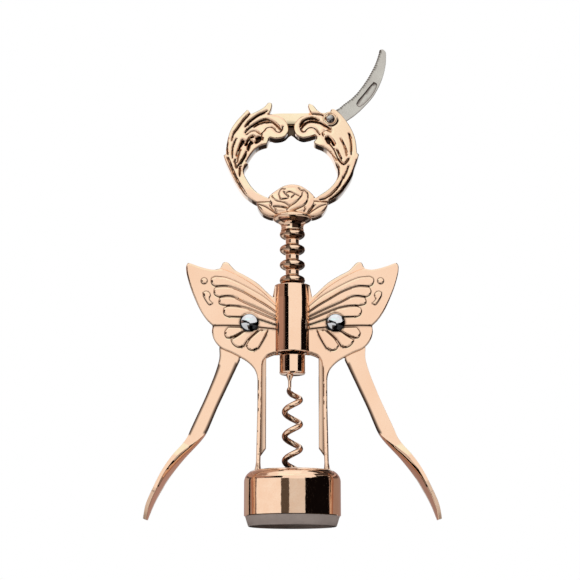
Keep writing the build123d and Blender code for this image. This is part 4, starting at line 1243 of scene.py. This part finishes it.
def scroll_relief(points, gap):
    """Leaves and scrolls are round cushions between the carved lines, and the scrolls' tongues lie lower."""
    near, dark, groove = gap * 3, 0 * gap, 0 * gap
    for width, strength, path in veins:
        line = flow(path, VEIN_STEP)
        away, spot = reach(points, line, closed=False)
        share = spot / (len(line) - 1)
        tapered = width * np.clip(0.35 + 4 * np.minimum(share, 1 - share), 0, 1)
        near = np.minimum(near, away)
        groove = np.maximum(groove, 0.6 * strength * fading(away, tapered))
        dark = np.maximum(dark, dark_line(away, tapered, strength))
    hollow = 0 * gap
    for pit in pits:
        rim = flow(pit, VEIN_STEP, closed=True)
        away, _ = reach(points, rim)
        near = np.minimum(near, away)
        hollow = np.maximum(hollow, np.where(within(points, rim), np.clip(away / 0.12, 0, 1), 0))
    height = SCROLL_RISE + CUSHION_RISE * shoulder(near, 1.0) - groove
    for tongue in tongues:
        rim = flow(tongue, TONGUE_STEP, closed=True)
        away, _ = reach(points, rim)
        height -= np.where(within(points, rim), TONGUE_DROP * shoulder(away, 0.4), 0)
    # The carved lines and the hollows carry painted shade
    return height * (1 - PIT_SHARE * hollow), np.maximum(dark, hollow)


ornament = carved("handle_scrolls", front_rim, (), HANDLE_FRONT, -SLOT_HALF, scroll_relief, ornament_lines,
                  step=0.4, edge=0.3, back_edge=0.0, shadow=1.0, even=False)

# The back plate behind the slot, with the finger opening
back_left = chain(flow(spur_left), flow(ring_left[:-1]))
back_top = flow([(-19.1, 158.6), (-13.0, 159.2), (-6.0, 160.0), (0.0, 160.1), (8.0, 160.2), (14.0, 160.3),
                 (17.3, 159.9)])
back_right = chain(flow(backwards(ring_right[:5])), flow(backwards(spur_right)))
back_rim = chain(back_left, back_top, back_right, foot_line)
left_walls = (flow(backwards(inner_low_left)), flow(backwards(inner_left)))
right_walls = (flow(inner_right), flow(inner_low_right), straight(SILL_RIGHT, SILL_LEFT))
between_scrolls = [(-2.6, 149.6), (-1.3, 151.0), (-0.4, 151.6), (0.5, 151.0), (1.6, 150.0), (2.8, 149.3)]
opening = chain(*left_walls, between_scrolls, *right_walls)


BAND_BOTTOM = 155.4
BAND_MIDDLE = -0.5
BAND_HALF = 6
BAND_DEPTH = 1.5


def crest_relief(points, gap):
    """Between the scrolls the back plate is hollowed below its upper band, with painted shade in the hollow.
    """
    low = np.clip((BAND_BOTTOM - points[:, 1]) / 0.5, 0, 1) * (np.abs(points[:, 0] - BAND_MIDDLE) < BAND_HALF)
    return -BAND_DEPTH * low, 0.95 * low


back_plate = carved("handle_back", back_rim, [opening], SLOT_HALF, HANDLE_REAR, crest_relief, edge=0.0,
                    back_edge=0.9, step=0.9, shadow=0.5, even=False)

# The core fills the ring between both plates, up to the floor of the blade's slot
slot_floor = [(-27.1, 151.0), (-20.9, 153.8), (-11.5, 156.3), (-4.1, 157.1), (2.5, 156.6), (9.0, 154.8),
              (12.8, 153.2)]
core_top = chain(flow(slot_floor), flow([(12.8, 153.2), (16.5, 153.0), (21.5, 154.0)]))
core_rim = chain(flow(spur_left), flow(ring_left[:4]), [p for p in core_top if p[0] > -23.9],
                 flow(backwards(ring_right[:3])), flow(backwards(spur_right)), foot_line)
core_opening = chain(*left_walls, [(-2.6, 149.8), (-2.6, 155.4), (2.1, 155.4), (2.1, 149.8)], *right_walls)
core = carved("handle_core", core_rim, [core_opening], -CORE_HALF, CORE_HALF, edge=0.0, back_edge=0.0,
              shadow=0.95, even=False)

# Boss round the blade's rivet, with a painted shadow along its lower right side
boss = turned("rivet_boss", [(2.9, 0.0), (2.9, 4.2), (2.72, 4.42), (2.4, 4.42), (2.15, 4.2), (2.1, 3.3),
                             (1.3, 3.3)],
              segments=48, start="cap")
laid_down(boss, BLADE_X, BLADE_Z)
boss_x, _, boss_z = (places_of(boss) - (BLADE_X, 0, BLADE_Z)).T
boss_turn = np.degrees(np.arctan2(boss_z, boss_x))
paint_shade(boss, (np.hypot(boss_x, boss_z) > 2.5) & (boss_turn > -105) & (boss_turn < 0))

# Cup and neck under the rose
cup_side = flow(
    [(4.45, 112.8), (4.36, 113.4), (4.36, 114.0), (4.42, 114.5), (4.62, 114.95), (5.0, 115.4), (5.6, 115.85),
     (6.4, 116.3), (7.1, 116.75), (7.5, 117.25), (7.6, 117.8), (7.4, 118.3), (6.9, 118.6)], 0.25,
)
cup = turned(
    "handle_cup",
    [(1.55, NECK_BOTTOM), (3.2, NECK_BOTTOM), (4.1, 112.85), (4.3, 112.62), (4.42, 112.66),
     (4.45, 112.8), *cup_side, (1.55, 121.0)],
    segments=96,
)
settle(cup, 40)

# Painted dark reflections on the cup: under its lip, further down on the right, and a block right of its neck
cup_z, around = places_of(cup)[:, 2], bearing_of(places_of(cup))
under_lip = np.where(around > -8, (cup_z > 115.7) & (cup_z < 117.0), (cup_z > 115.75) & (cup_z < 116.35))
block = (cup_z > 112.9) & (cup_z < 115.7) & (around > -3) & (around < 46)
paint_shade(cup, np.maximum(0.9 * under_lip, block))

# Rose head and side leaves
rose_rim = chain(
    flow([(-9.3, 123.3), (-9.2, 125.1), (-7.9, 126.6), (-5.7, 128.2), (-3.4, 129.6), (-0.2, 130.3),
          (2.9, 129.8), (5.5, 128.3), (7.4, 126.7), (8.7, 125.1)]),
    flow([(8.7, 125.1), (8.4, 122.9), (7.4, 120.9), (6.3, 119.4), (5.6, 118.2)]),
    straight((5.6, 118.2), (-5.2, 118.2)), flow([(-5.2, 118.2), (-6.6, 119.2), (-8.6, 121.6), (-9.3, 123.3)]),
)
petal_lines = [
    (0.20, 0.85, [(-2.8, 128.2), (-4.2, 128.4), (-4.9, 127.5), (-5.2, 126.3), (-4.9, 124.9), (-4.7, 124.1)]),
    (0.20, 0.85, [(-4.2, 124.1), (-1.6, 124.6), (-1.8, 125.3), (-2.8, 126.3), (-3.5, 127.3)]),
    (0.17, 0.80, [(-2.6, 126.2), (-2.0, 126.9), (-0.8, 127.1), (0.6, 126.5), (2.5, 125.5)]),
    (0.18, 0.80, [(0.9, 126.0), (-0.4, 124.7)]),
    (0.20, 0.80, [(3.9, 126.9), (3.7, 125.7), (2.9, 124.5), (1.1, 122.7), (-1.0, 121.3), (-2.2, 119.9)]),
    (0.20, 0.85, [(2.3, 128.8), (3.4, 127.7), (4.5, 127.8), (5.6, 126.7), (6.1, 125.1), (5.6, 123.1),
                  (4.5, 121.7), (1.7, 120.3), (-0.6, 119.4)]),
    (0.16, 0.55, [(-7.9, 125.5), (-7.3, 124.3), (-5.7, 123.4), (-4.2, 123.1), (-2.6, 122.5), (-1.5, 121.7)]),
    (0.20, 0.70, [(-9.2, 124.9), (-9.2, 123.7), (-8.6, 122.5)]),
    (0.20, 0.80, [(-7.3, 121.2), (-5.5, 121.2), (-3.6, 120.9), (-1.8, 120.5)]),
    (0.16, 0.60, [(-6.7, 120.5), (-6.4, 119.5)]),
    (0.16, 0.60, [(4.7, 121.1), (4.9, 120.3), (4.6, 119.3)]),
]


PETAL_DEPTH = 0.4
ROSE_RISE = 1.1
ROSE_SLOPE = 6.5
LEAF_RISE = 0.9
LEAF_SLOPE = 1.6


def petal_relief(points, lines):
    """Low cushions between carved lines: how far the points lie down, and how much shade is painted on them.
    """
    near, dark = np.full(len(points), 9.0), np.zeros(len(points))
    for width, strength, path in lines:
        away, _ = reach(points, flow(path, PETAL_STEP), closed=False)
        near = np.minimum(near, away / width)
        dark = np.maximum(dark, dark_line(away, width, strength))
    return PETAL_DEPTH * fading(near, 1.6), dark


def rose_relief(points, gap):
    """A low dome of overlapping petals."""
    down, dark = petal_relief(points, petal_lines)
    return ROSE_RISE * np.sqrt(np.clip(gap / ROSE_SLOPE, 0, 1)) - down, dark


def leaf_relief(points, gap):
    """A leaf rounded towards its outline, with two carved lines."""
    down, dark = petal_relief(points, leaf_lines)
    return LEAF_RISE * shoulder(gap, LEAF_SLOPE) - down, dark


rose = carved("handle_rose", rose_rim, (), ROSE_FRONT, HANDLE_REAR, rose_relief,
              [flow(path, PETAL_STEP) for _, _, path in petal_lines], step=0.35, edge=0.35, back_edge=0.8)
leaf_rim = chain(
    flow([(-5.0, 123.9), (-9.3, 124.3), (-13.9, 123.4)]),
    flow([(-13.9, 123.4), (-13.3, 121.4), (-11.7, 119.0), (-9.6, 117.8), (-7.6, 117.3), (-6.0, 117.9)]),
    straight((-6.0, 117.9), (-5.0, 123.9)),
)
leaf_lines = [(0.16, 0.75, [(-12.8, 122.4), (-10.5, 121.5), (-8.4, 120.2), (-6.4, 118.8)]),
              (0.22, 0.90, [(-8.6, 122.0), (-7.8, 120.9), (-6.6, 119.7), (-5.6, 118.6)])]
side_leaf = carved("rose_leaf_left", leaf_rim, (), LEAF_FRONT, LEAF_REAR, leaf_relief,
                   [flow(path, PETAL_STEP) for _, _, path in leaf_lines], step=0.4, edge=0.4, back_edge=0.8)
side_leaf_right = twin(side_leaf, "rose_leaf_right")
for piece in (ornament, back_plate, core, boss, cup, rose, side_leaf, side_leaf_right):
    finish(piece, rose_gold, "rose_gold", "handle", "handle")

# ---------------------------------------------------------------- foil blade
TOOTH_SAMPLES = 6
TOOTH_DEPTH = 0.24
FIRST_TOOTH = 34
PLAIN_TIP = 8
TANG_RADIUS = 2.9
NICK_DEPTH = 0.38
NICK_MIDDLE = (29.1, 167.5)
NICK_RUN = (8.0, 8.5)
cutting = flow([(13.1, 158.8), (17.6, 161.5), (20.1, 163.6), (22.9, 165.8), (25.2, 168.1), (27.2, 170.7),
                (29.5, 174.2), (31.0, 176.9), (32.6, 180.3), (33.6, 183.2), (34.4, 185.8)], 0.156)
blade_tip = flow([(34.4, 185.8), (35.3, 186.1), (36.2, 185.7), (36.75, 184.8), (36.88, 183.6)], 0.3)
blade_back = flow([(36.88, 183.6), (36.7, 180.1), (35.7, 175.4), (34.0, 170.9), (31.4, 166.4), (28.3, 162.8),
                   (25.4, 159.9), (21.4, 156.9), (16.4, 154.0)])
toothed = []
for k, (x, z) in enumerate(cutting):
    if FIRST_TOOTH < k < len(cutting) - PLAIN_TIP:
        phase = (k % TOOTH_SAMPLES) / TOOTH_SAMPLES
        dip = TOOTH_DEPTH * abs(sin(pi * phase))
        ahead, behind = cutting[k + 1], cutting[k - 1]
        run = hypot(ahead[0] - behind[0], ahead[1] - behind[1])
        x, z = x + dip * (ahead[1] - behind[1]) / run, z - dip * (ahead[0] - behind[0]) / run
    toothed.append((x, z))
tang = [(BLADE_X + TANG_RADIUS * cos(radians(a)), BLADE_Z + TANG_RADIUS * sin(radians(a)))
        for a in range(300, 110, -10)]
blade_rim = chain(toothed, blade_tip, blade_back, tang)
nick_rim = chain(flow([(32.0, 172.6), (33.1, 171.8), (32.4, 169.1), (29.4, 164.9), (26.1, 162.4),
                       (25.1, 163.3), (25.5, 164.6), (28.1, 167.9), (30.6, 171.1), (32.0, 172.6)], 0.3))


def nick_relief(points, gap):
    """The nail nick is pressed into the blade, with painted shade along its upper side. Between the teeth,
    and near the tip, the ground edge gets painted shade too."""
    away, _ = reach(points, nick_rim)
    inside = within(points, nick_rim)
    upper = (points[:, 1] - NICK_MIDDLE[1]) * NICK_RUN[0] > (points[:, 0] - NICK_MIDDLE[0]) * NICK_RUN[1]
    line = np.where(upper, fading(away - 0.1, 0.34), 0.75 * fading(away - 0.1, 0.22))
    ground, spot = reach(points, cutting, closed=False)
    stripes = 0.5 + 0.45 * (np.sin(spot * 2 * pi / TOOTH_SAMPLES) > 0.0)
    teeth_dark = (ground < 0.55) * stripes * (spot > 20)
    teeth_dark = np.where((ground < 0.5) & (spot > len(cutting) - 30), 0.9, teeth_dark)
    return np.where(inside, -NICK_DEPTH * shoulder(away, 0.4), 0), np.maximum(line * inside, teeth_dark)


blade_hole = circle((BLADE_X, BLADE_Z), 1.2, 32)
blade_piece = carved("foil_cutter_blade", blade_rim, [blade_hole], -BLADE_HALF, BLADE_HALF, nick_relief,
                     [looped(nick_rim)], step=0.8, edge=0.12)
finish(blade_piece, steel, "blade_steel", "blade", "foil_blade")


# ---------------------------------------------------------------- stage, light and camera
FLOOR_RADIUS = 3000.0
FLOOR_SIDES = 64
CARD_TURN = 6
TABLE = 0.3
BLACK = (0.004, 0.003, 0.003)
SOOT = (0.02, 0.015, 0.015)
BROWN, TAN, PINK = (0.13, 0.10, 0.09), (0.34, 0.25, 0.22), (0.55, 0.42, 0.38)
RUST, UMBER = (0.42, 0.28, 0.24), (0.20, 0.14, 0.12)


def cloth_from_above(colour, name):
    """A matt floor that is clear from below, so that the views from under it see the piece."""
    material = bpy.data.materials.new(name)
    material.use_nodes = True
    tree = material.node_tree
    tree.nodes.clear()
    outlet = node(tree, "ShaderNodeOutputMaterial")
    cloth = node(tree, "ShaderNodeBsdfDiffuse")
    cloth.inputs["Color"].default_value = (*colour, 1)
    clear_side = node(tree, "ShaderNodeBsdfTransparent")
    facing = node(tree, "ShaderNodeNewGeometry")
    mix = node(tree, "ShaderNodeMixShader")
    link(tree, facing, "Backfacing", mix, "Fac")
    link(tree, cloth, 0, mix, 1)
    link(tree, clear_side, 0, mix, 2)
    link(tree, mix, 0, outlet, "Surface")
    return material


outer = circle((0, 0), FLOOR_RADIUS, FLOOR_SIDES)
floor = place("floor", [(0, 0, 0)] + [(x, y, 0) for x, y in outer],
              [(0, k + 1, (k + 1) % FLOOR_SIDES + 1) for k in range(FLOOR_SIDES)])
floor.data.materials.append(cloth_from_above((0.9, 0.9, 0.9), "pale_floor"))

# The world lights the object softly, and is white to the camera, in reflections and through glass
world = bpy.data.worlds.new("studio")
bpy.context.scene.world = world
world.use_nodes = True
studio = world.node_tree
sky = studio.nodes["Background"]
sky.inputs["Color"].default_value = (1, 1, 1, 1)
paths = node(studio, "ShaderNodeLightPath")
most = node(studio, "ShaderNodeMath", operation="MAXIMUM")
most.use_clamp = True
link(studio, paths, "Is Camera Ray", most, 0)
either = node(studio, "ShaderNodeMath", operation="MAXIMUM")
link(studio, paths, "Is Glossy Ray", either, 0)
link(studio, paths, "Is Transmission Ray", either, 1)
link(studio, either, 0, most, 1)
level = node(studio, "ShaderNodeMapRange")
level.inputs["To Min"].default_value = 0.55
level.inputs["To Max"].default_value = 1.0
link(studio, most, 0, level, "Value")
link(studio, level, "Result", sky, "Strength")


def card(name, points, colour, faces=((0, 1, 2, 3),)):
    """A studio card seen only in reflections."""
    made = place(name, points, faces)
    paint = bpy.data.materials.new(name)
    paint.use_nodes = True
    tree = paint.node_tree
    tree.nodes.clear()
    outlet = node(tree, "ShaderNodeOutputMaterial")
    glow = node(tree, "ShaderNodeEmission")
    glow.inputs["Color"].default_value = (*colour, 1)
    link(tree, glow, 0, outlet, "Surface")
    made.data.materials.append(paint)
    for ray in ("camera", "diffuse", "shadow", "transmission", "volume_scatter"):
        setattr(made, "visible_" + ray, False)


def swept_card(name, bearings, edges, colour):
    """A card swept round the middle. bearings run from the front towards +x, in degrees, and edges are the
    radius and height of its two long sides."""
    start, stop = bearings
    count = max(2, int(abs(stop - start) / CARD_TURN))
    spots = [radians(start + (stop - start) * k / count) for k in range(count + 1)]
    points = [(r * sin(a), -r * cos(a), z) for a in spots for r, z in edges]
    card(name, points, colour, [(2 * k, 2 * k + 2, 2 * k + 3, 2 * k + 1) for k in range(count)])


def flag(name, bearings, low, high, colour, distance=300):
    """An upright curved card."""
    swept_card(name, bearings, ((distance, low), (distance, high)), colour)


def table_card(name, bearings, near, far, colour, height=TABLE):
    """A level card, a sector round the middle."""
    swept_card(name, bearings, ((near, height), (far, height)), colour)


# Upright cards in tiers: lowest and highest edge, and each card's bearings and colour
TIERS = {
    "low": (-30, 85, [(-165, -124, (0.46, 0.39, 0.36)), (-124, -116, BLACK), (-116, -95, TAN),
                      (-95, -92, BROWN),
                      (29, 95, BLACK), (95, 160, TAN)]),
    "front": (-30, 46, [(-8, 29, (0.74, 0.75, 0.75))]),
    "plug": (85, 113, [(-150, -94, BROWN), (-94, -70, TAN), (-70, -24, BLACK), (47, 97, BLACK),
                       (97, 150, BROWN)]),
    "barrel_low": (113, 131, [(-150, -56, RUST), (-56, -46, UMBER), (-46, -23, BLACK), (54, 100, BLACK),
                              (100, 150, (0.10, 0.05, 0.04))]),
    "barrel_high": (131, 156, [(-150, -56, RUST), (-56, -46, UMBER), (-46, -23, BLACK), (60, 98, BLACK),
                               (98, 150, PINK)]),
    "rings": (156, 186, [(-150, -52, (0.36, 0.24, 0.20)), (-52, -26, BLACK), (60, 113, BLACK),
                         (113, 150, BROWN)]),
    "high": (196, 330, [(-150, -72, (0.35, 0.25, 0.22)), (62, 150, (0.06, 0.045, 0.04))]),
    "back": (8, 100, [(150, 210, (0.07, 0.05, 0.04))]),
}
flag("flag_near_strip", (-25, -7), -30, 34, (0.10, 0.085, 0.07), 120)
flag("flag_cream_left", (-40, 4), 206, 330, (1.02, 1.24, 1.2), 290)
flag("flag_cream_right", (4, 40), 206, 330, (1.0, 1.1, 1.08), 290)
for tier, (low, high, parts) in TIERS.items():
    for index, (start, stop, colour) in enumerate(parts):
        flag(f"flag_{tier}_{index}", (start, stop), low, high, colour)
table_card("table_right", (-12, 25), 2, 190, BLACK)
table_card("table_right_low", (25, 52), 2, 74, BLACK)
table_card("table_right_near", (52, 78), 2, 44, BLACK)
table_card("table_far_right", (100, 150), 2, 190, BROWN)
table_card("table_left", (-150, -90), 2, 140, BROWN)
table_card("table_front_left", (-25, -12), 60, 210, (0.05, 0.035, 0.03))
PADDLE_TONES = ((-1, (0.42, 0.30, 0.29)), (1, (0.36, 0.26, 0.25)))
for side, tone in PADDLE_TONES:
    x = side * 22
    card(f"paddle_card_{side + 1}", [(x, 5, 1), (x, 90, 1), (x, 90, 32), (x, 5, 32)], tone)
CEILING = [(-1500, -210, (0.50, 0.36, 0.31)), (-210, -115, SOOT), (230, 520, SOOT),
           (520, 1500, (0.28, 0.21, 0.19))]
for index, (start, stop, colour) in enumerate(CEILING):
    card(f"ceiling_{index}", [(start, -40, 620), (stop, -40, 620), (stop, 1500, 620),
                              (start, 1500, 620)], colour)
table_card("table_middle", (-180, 180), 2, 20, (0.02, 0.015, 0.012), 0.5)
for side, tone in PADDLE_TONES:
    near, far = side * 20, side * 70
    card(f"paddle_floor_{side + 1}", [(near, 2, 0.4), (far, 2, 0.4), (far, 90, 0.4), (near, 90, 0.4)], tone)
card("top_light", [(-260, -360, 470), (140, -360, 470), (140, -120, 500),
                   (-260, -120, 500)], (1.12, 1.16, 1.16))


def facing_middle(point, middle):
    return (middle - Vector(point)).to_track_quat("-Z", "Y").to_euler()


def lamp(name, spot, size, power):
    """A square soft lamp, in metres and watts, which no reflection shows."""
    clear()
    bpy.ops.object.light_add(type="AREA", location=spot)
    light = bpy.context.object
    light.name = name
    light.data.shape = "SQUARE"
    light.data.size = size
    light.data.energy = power
    light.visible_glossy = False
    light.rotation_euler = facing_middle(spot, Vector((0, 0, 0.09)))


lamp("key_light", (-0.7, -0.9, 0.9), 0.8, 6.0)
lamp("fill_light", (0.8, -0.8, 0.5), 0.9, 2.5)

# The camera lies below the middle and looks up. Its focal length is in pixels of the square frame
FRAME_PIXELS = 580
FOCAL_PIXELS = 1572
SENSOR_WIDTH = 36
CAMERA_DISTANCE = 0.6
CAMERA_RISE = radians(-11.5)
aim = Vector((-0.9 * MM, 0, 89.5 * MM))
clear()
bpy.ops.object.camera_add(location=aim + CAMERA_DISTANCE * Vector((0, -cos(CAMERA_RISE), sin(CAMERA_RISE))))
camera = bpy.context.object
camera.name = "camera"
camera.rotation_euler = facing_middle(camera.location, aim)
camera.data.sensor_width = SENSOR_WIDTH
camera.data.lens = FOCAL_PIXELS / FRAME_PIXELS * SENSOR_WIDTH
camera.data.clip_start = 0.01
bpy.context.scene.camera = camera
bpy.context.scene.view_settings.view_transform = "Standard"
